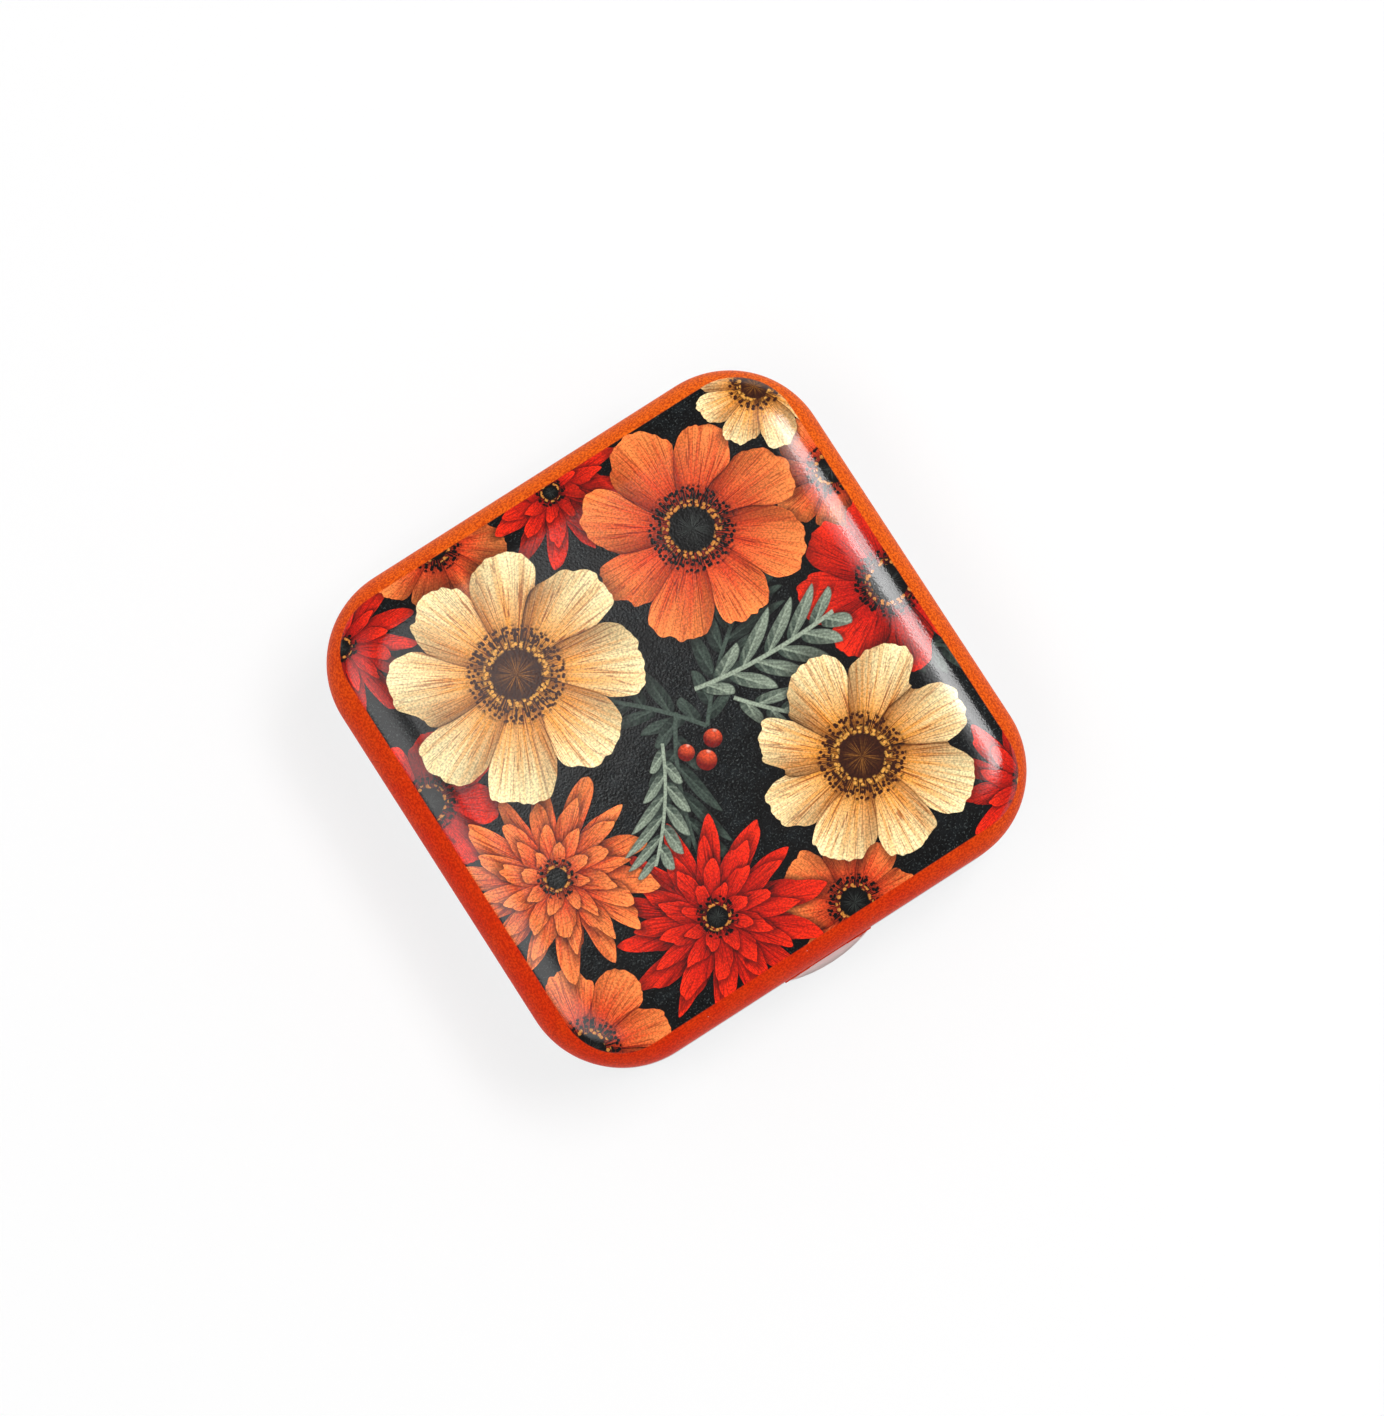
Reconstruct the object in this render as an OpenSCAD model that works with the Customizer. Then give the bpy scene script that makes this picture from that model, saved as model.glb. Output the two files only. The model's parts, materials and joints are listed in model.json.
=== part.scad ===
// Small square hinged tin, drawn from tinplate.
// X runs to the right, -Y to the thumb lip at the front, +Y to the hinge, Z up.
// The origin is the middle of the footprint, on the surface the tin stands on.

/* [Tin] */
// Width and depth over the walls
side = 60; // [50:1:80]
// Closed height
height = 18; // [17:0.5:24]
// Outer radius of the upright corners
corner_r = 10.8; // [10:0.1:14]
// Thickness of the tinplate
sheet = 0.3; // [0.25:0.05:0.35]

/* [Lid] */
// Outer radius of the rolled shoulder
shoulder_r = 4; // [3:0.1:4.5]
// Radius of the soft crown between the shoulder and the flat panel
crown_r = 14; // [10:1:18]
// Where the hem's curl ends, in degrees above level
hem_end = 70; // [60:5:90]

/* [Thumb lip] */
// Length of the lip along the front
lip_w = 10.9; // [8:0.1:14]
// How far the lip stands out in front of the wall
lip_out = 0.95; // [0.6:0.05:0.95]
// Radius of the fold between the wall and the lip
lip_fold_r = 0.3; // [0.2:0.05:0.3]

/* [Base] */
// Height of the ledge that the lid's hem stands over
ledge_z = 9.2; // [7:0.1:9.5]
// Height of the neck above the ledge
neck_h = 6; // [5.5:0.1:6.2]
// Gap between the neck and the lid's hem
hem_gap = 0.35; // [0.35:0.05:0.5]
// Gap between the ledge and the lid's hem
ledge_gap = 0.2; // [0.2:0.05:0.3]
// Outer radius of the foot
foot_r = 2.5; // [1.5:0.1:3]
// Outer radius of the ledge's edge
ledge_r = 0.8; // [0.6:0.05:0.8]
// Outer radius of the rim, curled inward round the neck's upper edge
rim_r = 0.6; // [0.55:0.05:0.7]
// Width of the flat ring that the tin stands on
ring_w = 1.2; // [0.8:0.1:2]
// Radius in the middle of the sheet of both bends between the ring and the bottom panel
step_mid_r = 0.75; // [0.6:0.05:1]

/* [Hinge] */
// Diameter of the hinge wire
wire_d = 0.8; // [0.7:0.05:0.8]
// Gap all round the wire inside the lid's hem
wire_play = 0.05; // [0.03:0.01:0.08]
// Length of each wire
wire_l = 10; // [8:0.5:12]
// Distance of each hinge from the middle of the tin
hinge_x = 12; // [9:0.5:13]
// Width of each base knuckle
knuckle_w = 4; // [3:0.5:5]
// Gap beside and above each base knuckle
knuckle_gap = 0.25; // [0.2:0.05:0.3]
// Height of the window that each knuckle's tongue is lanced from
window_h = 3.7; // [3:0.1:3.7]

/* [Hidden] */
$fn = 96;

half = side / 2;
corner_at = half - corner_r; // the corner radius's centre, along X and Y
run = 2 * corner_at; // straight length of each wall

wire_r = wire_d / 2;
hem_r = wire_r + wire_play + sheet; // outer radius of the hem, curled inward round the lid's lower edge
hem_z = ledge_z + ledge_gap + hem_r; // the hem's centre, which is the hinge axis
hem_x = corner_r - hem_r;
hinge_y = half - hem_r;

// The shoulder's arc runs into the crown's arc where both face crown_ray, and the crown runs into the
// flat panel. The rays are 7-24-25 and 3-4-5 triangles, so the arcs meet on round numbers.
crown_ray = [7, 24] / 25;
step_ray = [4, 3] / 5;
shoulder_x = corner_r - shoulder_r;
crown_x = shoulder_x - (crown_r - shoulder_r) * crown_ray.x;
crown_z = height - crown_r;
shoulder_z = crown_z + (crown_r - shoulder_r) * crown_ray.y;

lip_r = (pow(lip_w / 2, 2) + pow(lip_out, 2)) / (2 * lip_out); // radius of its rim, seen from above
lip_z = hem_z - hem_r;
lip_fold_z = lip_z + sheet + lip_fold_r;

neck_x = corner_r - 2 * hem_r - hem_gap;
neck_fold_r = 0.2; // where the neck rises from the ledge
rim_x = neck_x - rim_r;
rim_z = ledge_z + neck_h - rim_r;
rim_end = 280; // the end of the rim's curl, in degrees

// The bottom panel is pressed up by two bends that meet where both face step_ray.
step_r = step_mid_r + sheet / 2;
ring_x = corner_r - foot_r - ring_w;
panel_x = ring_x - 2 * step_mid_r * step_ray.x;
panel_step_z = step_r - 2 * step_mid_r * step_ray.y;
panel_up = panel_step_z + step_r - sheet;

wire_tip = 0.15; // chamfer at each end of the wire
pinch = 0.01; // how tightly a base knuckle grips its wire
knuckle_r = wire_r + sheet;
knuckle_end = 170; // the end of the knuckle's curl, in degrees
tongue_z = hem_z - knuckle_r;
notch_w = knuckle_w + 2 * knuckle_gap;

tin_orange = "#e2571e";
bare_tin = "#c9cbcc";
wire_steel = "#8f9296";

// ---------- Sheet profiles ----------
// A profile is drawn as a section through the wall: x is the distance out from the corner radius's
// centre, and y is the height.

// Rays from one angle to another, in degrees, at most 60 apart.
function turn(from, to, steps) = [for (i = [0:steps]) let (a = from + (to - from) * i / steps) [cos(a), sin(a)]];

// A bend in the sheet, from its outer radius and the rays that it runs between.
module bend(at, r, rays) {
    translate(at)
        intersection() {
            difference() {
                circle(r);
                circle(r - sheet);
            }
            polygon(concat([[0, 0]], 2 * r * rays));
        }
}

// A straight stretch of sheet, from its lower left corner.
module straight(at, size) {
    translate(at)
        square(size);
}

// Sweeps a profile round the tin's outline, along the walls and round the corners.
module sweep_corners() {
    for (a = [0:90:270])
        rotate(a)
            translate([corner_at, corner_at, 0])
                rotate_extrude(angle = 90)
                    children();
}

module sweep_wall(a, length = run) {
    rotate(a)
        translate([corner_at, 0, 0])
            rotate([90, 0, 0])
                linear_extrude(length, center = true)
                    children();
}

module sweep_round() {
    sweep_corners()
        children();
    for (a = [0:90:270])
        sweep_wall(a)
            children();
}

// The flat middle of a pressing: a square with round corners.
module panel(r, z) {
    translate([0, 0, z])
        linear_extrude(sheet)
            union() {
                square([run + 2 * r, run], center = true);
                square([run, run + 2 * r], center = true);
                for (x = [-corner_at, corner_at], y = [-corner_at, corner_at])
                    translate([x, y])
                        circle(r);
            }
}

// ---------- Lid ----------

module lid_wall_profile() {
    straight([corner_r - sheet, hem_z], [sheet, shoulder_z - hem_z]);
    bend([shoulder_x, shoulder_z], shoulder_r, [[1, 0], [1, 1], crown_ray]);
    bend([crown_x, crown_z], crown_r, [crown_ray, [0, 1]]);
}

module hem_profile() {
    bend([hem_x, hem_z], hem_r, turn(hem_end, 360, 5));
}

// The sheet turned out at the front instead of curled in, before it is trimmed.
module lip_profile() {
    straight([corner_r - sheet, lip_fold_z], [sheet, hem_z - lip_fold_z]);
    bend([corner_r + lip_fold_r, lip_fold_z], lip_fold_r + sheet, turn(180, 270, 2));
    straight([corner_r + lip_fold_r, lip_z], [lip_out, sheet]);
}

module thumb_lip() {
    intersection() {
        sweep_wall(-90, lip_w)
            lip_profile();
        translate([0, lip_r - half - lip_out, lip_z - sheet])
            cylinder(r = lip_r, h = 2 * hem_r + 2 * sheet);
    }
}

// Clears the rear hem round one base knuckle.
module hinge_notch(x) {
    translate([x - notch_w / 2, hinge_y - 2 * hem_r, hem_z - 2 * hem_r])
        cube([notch_w, 4 * hem_r, 2 * hem_r + knuckle_r + knuckle_gap]);
}

module lid() {
    hem_side = (run - lip_w) / 2; // the hem on each side of the thumb lip
    color(tin_orange)
        difference() {
            union() {
                panel(crown_x, height - sheet);
                sweep_round()
                    lid_wall_profile();
                sweep_corners()
                    hem_profile();
                for (a = [0:90:180])
                    sweep_wall(a)
                        hem_profile();
                for (x = [-1, 1] * (run - hem_side) / 2)
                    translate([x, 0, 0])
                        sweep_wall(-90, hem_side)
                            hem_profile();
                thumb_lip();
            }
            for (x = [-hinge_x, hinge_x])
                hinge_notch(x);
        }
}

// ---------- Base ----------

module foot_profile() {
    bend([panel_x, panel_step_z], step_r, [step_ray, [0, 1]]);
    bend([ring_x, step_r], step_r, [-step_ray, [0, -1]]);
    straight([ring_x, 0], [ring_w, sheet]);
    bend([corner_r - foot_r, foot_r], foot_r, turn(270, 360, 2));
}

module base_wall_profile() {
    straight([corner_r - sheet, foot_r], [sheet, ledge_z - ledge_r - foot_r]);
    bend([corner_r - ledge_r, ledge_z - ledge_r], ledge_r, turn(0, 90, 2));
    straight([neck_x + neck_fold_r, ledge_z - sheet], [corner_r - ledge_r - neck_x - neck_fold_r, sheet]);
    bend([neck_x + neck_fold_r, ledge_z + neck_fold_r], neck_fold_r + sheet, turn(180, 270, 2));
    straight([neck_x - sheet, ledge_z + neck_fold_r], [sheet, rim_z - ledge_z - neck_fold_r]);
    bend([rim_x, rim_z], rim_r, turn(0, rim_end, 5));
}

// The window in the rear neck that one knuckle's tongue is lanced from.
module tongue_window(x) {
    translate([x - knuckle_w / 2, hinge_y - 2 * knuckle_r - 2 * sheet, tongue_z + sheet])
        cube([knuckle_w, knuckle_r + 2 * sheet, window_h]);
}

// One tongue, bent out from the neck and curled round the wire.
module base_knuckle(x) {
    neck_y = corner_at + neck_x;
    translate([x, 0, 0])
        rotate([90, 0, 90])
            linear_extrude(knuckle_w, center = true)
                union() {
                    straight([neck_y - sheet, tongue_z], [hinge_y - neck_y + sheet, sheet]);
                    difference() {
                        bend([hinge_y, hem_z], knuckle_r, turn(-90, knuckle_end, 5));
                        translate([hinge_y, hem_z])
                            circle(wire_r - pinch);
                    }
                }
}

module base() {
    color(bare_tin)
        union() {
            difference() {
                union() {
                    panel(panel_x, panel_up);
                    sweep_round()
                        foot_profile();
                    sweep_round()
                        base_wall_profile();
                }
                for (x = [-hinge_x, hinge_x])
                    tongue_window(x);
            }
            for (x = [-hinge_x, hinge_x])
                base_knuckle(x);
        }
}

// ---------- Hinge pins ----------

module hinge_pin(x) {
    color(wire_steel)
        translate([x, hinge_y, hem_z])
            rotate([0, 90, 0])
                union() {
                    cylinder(r = wire_r, h = wire_l - 2 * wire_tip, center = true);
                    for (end = [0, 1])
                        mirror([0, 0, end])
                            translate([0, 0, wire_l / 2 - wire_tip])
                                cylinder(r1 = wire_r, r2 = wire_r - wire_tip, h = wire_tip);
                }
}

module left_hinge_pin() {
    hinge_pin(-hinge_x);
}

module right_hinge_pin() {
    hinge_pin(hinge_x);
}

lid();
base();
left_hinge_pin();
right_hinge_pin();
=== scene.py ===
"""Dresses a small square hinged tin: its two tinplate pressings, its printed lid and its hinge wires.

Every length is in metres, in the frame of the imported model. X runs to the right, -Y to the thumb lip at the
front, +Y to the hinge and Z up.
"""

from __future__ import annotations

import json
import logging
import math
from dataclasses import dataclass, field
from enum import Enum

import bmesh
import bpy
from mathutils import Matrix, Vector


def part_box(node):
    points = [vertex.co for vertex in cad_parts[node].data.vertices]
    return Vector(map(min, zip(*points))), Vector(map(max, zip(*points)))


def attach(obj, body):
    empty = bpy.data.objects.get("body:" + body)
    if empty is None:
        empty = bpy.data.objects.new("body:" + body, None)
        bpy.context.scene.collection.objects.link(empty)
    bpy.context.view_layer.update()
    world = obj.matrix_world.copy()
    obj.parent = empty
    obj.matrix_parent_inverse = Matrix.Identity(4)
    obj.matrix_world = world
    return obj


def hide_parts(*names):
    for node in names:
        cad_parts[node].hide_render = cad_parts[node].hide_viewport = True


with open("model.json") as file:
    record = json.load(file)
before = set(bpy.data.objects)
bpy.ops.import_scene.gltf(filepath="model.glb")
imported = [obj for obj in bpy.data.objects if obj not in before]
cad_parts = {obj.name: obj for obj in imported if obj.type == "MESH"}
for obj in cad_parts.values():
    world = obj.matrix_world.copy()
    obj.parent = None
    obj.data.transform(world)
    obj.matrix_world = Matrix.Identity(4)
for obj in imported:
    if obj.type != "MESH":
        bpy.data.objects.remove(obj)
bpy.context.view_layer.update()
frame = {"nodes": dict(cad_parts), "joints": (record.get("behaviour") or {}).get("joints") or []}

MM = 0.001
WELD = 0.002 * MM

Socket = bpy.types.NodeSocket
Colour = tuple[float, float, float]
Station = tuple[Vector, Vector]

log = logging.getLogger("tin")


# ---------- Small helpers for node trees ----------


@dataclass
class Wire:
    """A number that flows through a node tree, so that a formula can be written as plain arithmetic."""

    tree: bpy.types.NodeTree
    out: Socket

    def _math(self, operation: str, *others: Wire | float) -> Wire:
        """Adds a Math node.

        Args:
            operation: The node's operation.
            others: Its other inputs.

        Returns:
            The node's result.
        """
        node = self.tree.nodes.new("ShaderNodeMath")
        node.operation = operation
        self.tree.links.new(self.out, node.inputs[0])
        for place, other in enumerate(others, start=1):
            feed(self.tree, other, node.inputs[place])
        return Wire(self.tree, node.outputs[0])

    def __add__(self, other: Wire | float) -> Wire:
        """Adds two numbers."""
        return self._math("ADD", other)

    def __sub__(self, other: Wire | float) -> Wire:
        """Subtracts the other number."""
        return self._math("SUBTRACT", other)

    def __mul__(self, other: Wire | float) -> Wire:
        """Multiplies two numbers."""
        return self._math("MULTIPLY", other)

    def __truediv__(self, other: Wire | float) -> Wire:
        """Divides by the other number."""
        return self._math("DIVIDE", other)

    def __pow__(self, other: Wire | float) -> Wire:
        """Raises to a power."""
        return self._math("POWER", other)

    def __neg__(self) -> Wire:
        """Turns the sign round."""
        return self * -1.0

    __radd__ = __add__
    __rmul__ = __mul__

    def __rsub__(self, other: float) -> Wire:
        """Subtracts this number from a plain one."""
        return -self + other

    def size(self) -> Wire:
        """Returns the number without its sign."""
        return self._math("ABSOLUTE")

    def sine(self) -> Wire:
        """Returns the sine."""
        return self._math("SINE")

    def floor(self) -> Wire:
        """Returns the whole number below."""
        return self._math("FLOOR")

    def least(self, other: Wire | float) -> Wire:
        """Returns the smaller of two numbers."""
        return self._math("MINIMUM", other)

    def most(self, other: Wire | float) -> Wire:
        """Returns the larger of two numbers."""
        return self._math("MAXIMUM", other)

    def wrap(self, count: Wire | float) -> Wire:
        """Returns the number wrapped between 0 and a count."""
        return self._math("FLOORED_MODULO", count)

    def above(self, edge: Wire | float) -> Wire:
        """Returns 1 where the number is over an edge, and 0 elsewhere."""
        return self._math("GREATER_THAN", edge)

    def angle(self, x: Wire) -> Wire:
        """Returns the angle of the place that has this number as its y, and another as its x."""
        return self._math("ARCTAN2", x)

    def fade(self, start: Wire | float, end: Wire | float) -> Wire:
        """Turns the number into a smooth run.

        Args:
            start: The number that becomes 0.
            end: The number that becomes 1. It may be the smaller one.

        Returns:
            The run, which stays at 0 and at 1 outside them.
        """
        node = self.tree.nodes.new("ShaderNodeMapRange")
        node.interpolation_type = "SMOOTHSTEP"
        self.tree.links.new(self.out, node.inputs["Value"])
        feed(self.tree, start, node.inputs["From Min"])
        feed(self.tree, end, node.inputs["From Max"])
        return Wire(self.tree, node.outputs["Result"])


def feed(tree: bpy.types.NodeTree, value: object, socket: Socket) -> None:
    """Gives a socket a wire, another socket, a number or a colour.

    Args:
        tree: The tree that the socket is in.
        value: What the socket is given.
        socket: The input socket.
    """
    if isinstance(value, Wire):
        tree.links.new(value.out, socket)
    elif isinstance(value, Socket):
        tree.links.new(value, socket)
    elif isinstance(value, tuple) and socket.type == "RGBA":
        socket.default_value = (*value, 1.0)
    else:
        socket.default_value = value


def ink(code: str) -> Colour:
    """Turns a colour as it is seen, such as "#e2571e", into the linear colour that a shader takes.

    Args:
        code: The colour's six hexadecimal digits.

    Returns:
        The linear colour.
    """
    channels = (int(code[i : i + 2], 16) / 255 for i in (1, 3, 5))
    return tuple(c / 12.92 if c <= 0.04045 else ((c + 0.055) / 1.055) ** 2.4 for c in channels)


@dataclass
class Sketch:
    """Adds the nodes of one tree."""

    tree: bpy.types.NodeTree

    def node(self, kind: str, **settings: object) -> bpy.types.Node:
        """Adds one node.

        Args:
            kind: The node's type.
            settings: Properties that it is given.

        Returns:
            The node.
        """
        node = self.tree.nodes.new(kind)
        for name, value in settings.items():
            setattr(node, name, value)
        return node

    def wire(self, socket: Socket) -> Wire:
        """Wraps a socket, so that it can be used in formulas."""
        return Wire(self.tree, socket)

    def vector(self, x: Wire | float, y: Wire | float, z: Wire | float = 0.0) -> Socket:
        """Joins three numbers into a vector.

        Args:
            x: The first number.
            y: The second number.
            z: The third number.

        Returns:
            The vector.
        """
        node = self.node("ShaderNodeCombineXYZ")
        for value, socket in zip((x, y, z), node.inputs):
            feed(self.tree, value, socket)
        return node.outputs[0]

    def split(self, vector: Socket) -> tuple[Wire, Wire, Wire]:
        """Splits a vector.

        Args:
            vector: The vector.

        Returns:
            Its three numbers.
        """
        node = self.node("ShaderNodeSeparateXYZ")
        self.tree.links.new(vector, node.inputs[0])
        return tuple(self.wire(s) for s in node.outputs)

    def combined(self, operation: str, *vectors: object) -> bpy.types.Node:
        """Adds a Vector Math node.

        Args:
            operation: The node's operation.
            vectors: Its inputs, in their order.

        Returns:
            The node.
        """
        node = self.node("ShaderNodeVectorMath", operation=operation)
        for vector, socket in zip(vectors, node.inputs):
            feed(self.tree, vector, socket)
        return node

    def scaled(self, vector: Socket, scale: Wire | float) -> Socket:
        """Makes a vector longer or shorter.

        Args:
            vector: The vector.
            scale: What it is multiplied by.

        Returns:
            The new vector.
        """
        node = self.combined("SCALE", vector)
        feed(self.tree, scale, node.inputs["Scale"])
        return node.outputs[0]

    def length(self, vector: Socket) -> Wire:
        """Returns a vector's length."""
        return self.wire(self.combined("LENGTH", vector).outputs["Value"])

    def cells(self, at: Socket, scale: float) -> Wire:
        """Returns how far a place is from the nearest of many scattered points.

        Args:
            at: The place, of which only x and y count.
            scale: How many points there are in each unit.

        Returns:
            The distance, in the points' own spacing.
        """
        node = self.node("ShaderNodeTexVoronoi", voronoi_dimensions="2D")
        feed(self.tree, at, node.inputs["Vector"])
        node.inputs["Scale"].default_value = scale
        return self.wire(node.outputs["Distance"])

    def chance(self, number: Wire) -> Wire:
        """Draws a chance for each whole number.

        Args:
            number: The whole number.

        Returns:
            Its chance, from 0 to 1.
        """
        node = self.node("ShaderNodeTexWhiteNoise", noise_dimensions="1D")
        feed(self.tree, number, node.inputs["W"])
        return self.wire(node.outputs["Value"])

    def noise(self, at: Socket, scale: float, detail: float = 1.0) -> Wire:
        """Returns smooth noise, from 0 to 1.

        Args:
            at: The place where it is read.
            scale: How many bumps it has in each unit.
            detail: How many finer layers it has.

        Returns:
            The noise.
        """
        node = self.node("ShaderNodeTexNoise")
        self.tree.links.new(at, node.inputs["Vector"])
        node.inputs["Scale"].default_value = scale
        node.inputs["Detail"].default_value = detail
        return self.wire(node.outputs["Fac"])

    def mix(self, share: Wire | float, first: object, second: object, blend: str = "MIX") -> Socket:
        """Mixes two colours.

        Args:
            share: How much of the second colour shows.
            first: The first colour.
            second: The second colour.
            blend: How the second colour is laid on the first.

        Returns:
            The mixed colour.
        """
        node = self.node("ShaderNodeMix", data_type="RGBA", blend_type=blend)
        feed(self.tree, share, node.inputs["Factor"])
        feed(self.tree, first, node.inputs[6])
        feed(self.tree, second, node.inputs[7])
        return node.outputs[2]


# ---------- Sheet metal ----------


@dataclass
class Section:
    """A line through the middle of the sheet, cut across a wall.

    x is the distance out from the corner radius's centre, and z is the height.
    """

    points: list[tuple[float, float]] = field(default_factory=list)

    def to(self, x: float, z: float) -> Section:
        """Adds a straight stretch that ends at a point."""
        self.points.append((x, z))
        return self

    def arc(self, x: float, z: float, radius: float, start: float, end: float, steps: int) -> Section:
        """Adds a bend.

        Args:
            x: Its centre, out from the corner radius's centre.
            z: Its centre's height.
            radius: Its radius in the middle of the sheet.
            start: Where it starts, in degrees up from level and outward.
            end: Where it ends.
            steps: How many chords it has.

        Returns:
            The section itself.
        """
        for step in range(steps + 1):
            angle = math.radians(start + (end - start) * step / steps)
            self.points.append((x + radius * math.cos(angle), z + radius * math.sin(angle)))
        return self

    def guide(self) -> bpy.types.Mesh:
        """Turns the section into a mesh of points.

        Returns:
            The mesh, in which each point is given once.
        """
        kept = [self.points[0]]
        for point in self.points[1:]:
            if math.dist(point, kept[-1]) > WELD:
                kept.append(point)
        mesh = bpy.data.meshes.new("section")
        mesh.from_pydata([(x, 0.0, z) for x, z in kept], [(i, i + 1) for i in range(len(kept) - 1)], [])
        return mesh


@dataclass
class Outline:
    """The tin's outline as stations.

    A station is a place on the square of the corner radii's centres, and a way out.
    """

    corner_at: float
    marks: tuple[float, ...]
    pitch: float = 1.2 * MM
    corner_steps: int = 28

    def stops(self) -> list[float]:
        """Places the stations of a wall.

        Returns:
            Their places along the wall, from one corner to the other.
        """
        count = round(2 * self.corner_at / self.pitch)
        even = [-self.corner_at + 2 * self.corner_at * i / count for i in range(count + 1)]
        exact = [side * mark for mark in self.marks for side in (-1, 1)]
        spare = [stop for stop in even if all(abs(stop - mark) > self.pitch / 4 for mark in exact)]
        return sorted(spare + exact)

    def wall(self, side: int, low: float, high: float) -> list[Station]:
        """Returns the stations of one wall, clockwise as seen from above.

        Args:
            side: 0 is the rear wall, 1 the right, 2 the front and 3 the left.
            low: Where the stretch starts along the wall.
            high: Where it ends.

        Returns:
            The stations.
        """
        out = turned(Vector((0, 1, 0)), side)
        along = turned(Vector((1, 0, 0)), side)
        stops = [stop for stop in self.stops() if low - WELD <= stop <= high + WELD]
        return [(out * self.corner_at + along * stop, out) for stop in stops]

    def corner(self, side: int) -> list[Station]:
        """Places the stations of the corner at the end of a wall.

        Args:
            side: The wall, as Outline.wall says.

        Returns:
            The stations.
        """
        at = turned(Vector((self.corner_at, self.corner_at, 0)), side)
        steps = range(self.corner_steps + 1)
        return [(at, turned(Vector((0, 1, 0)), side + step / self.corner_steps)) for step in steps]

    def round(self) -> list[Station]:
        """Places the stations all the way round.

        Returns:
            The stations, with the first one given again at the end.
        """
        found: list[Station] = []
        for side in range(4):
            found += self.wall(side, -self.corner_at, self.corner_at) + self.corner(side)
        return found + found[:1]


def turned(vector: Vector, quarters: float) -> Vector:
    """Turns a vector clockwise, as seen from above.

    Args:
        vector: The vector.
        quarters: How many quarter turns it makes.

    Returns:
        The turned vector.
    """
    angle = -quarters * math.pi / 2
    cos, sin = math.cos(angle), math.sin(angle)
    return Vector((vector.x * cos - vector.y * sin, vector.x * sin + vector.y * cos, vector.z))


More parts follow.
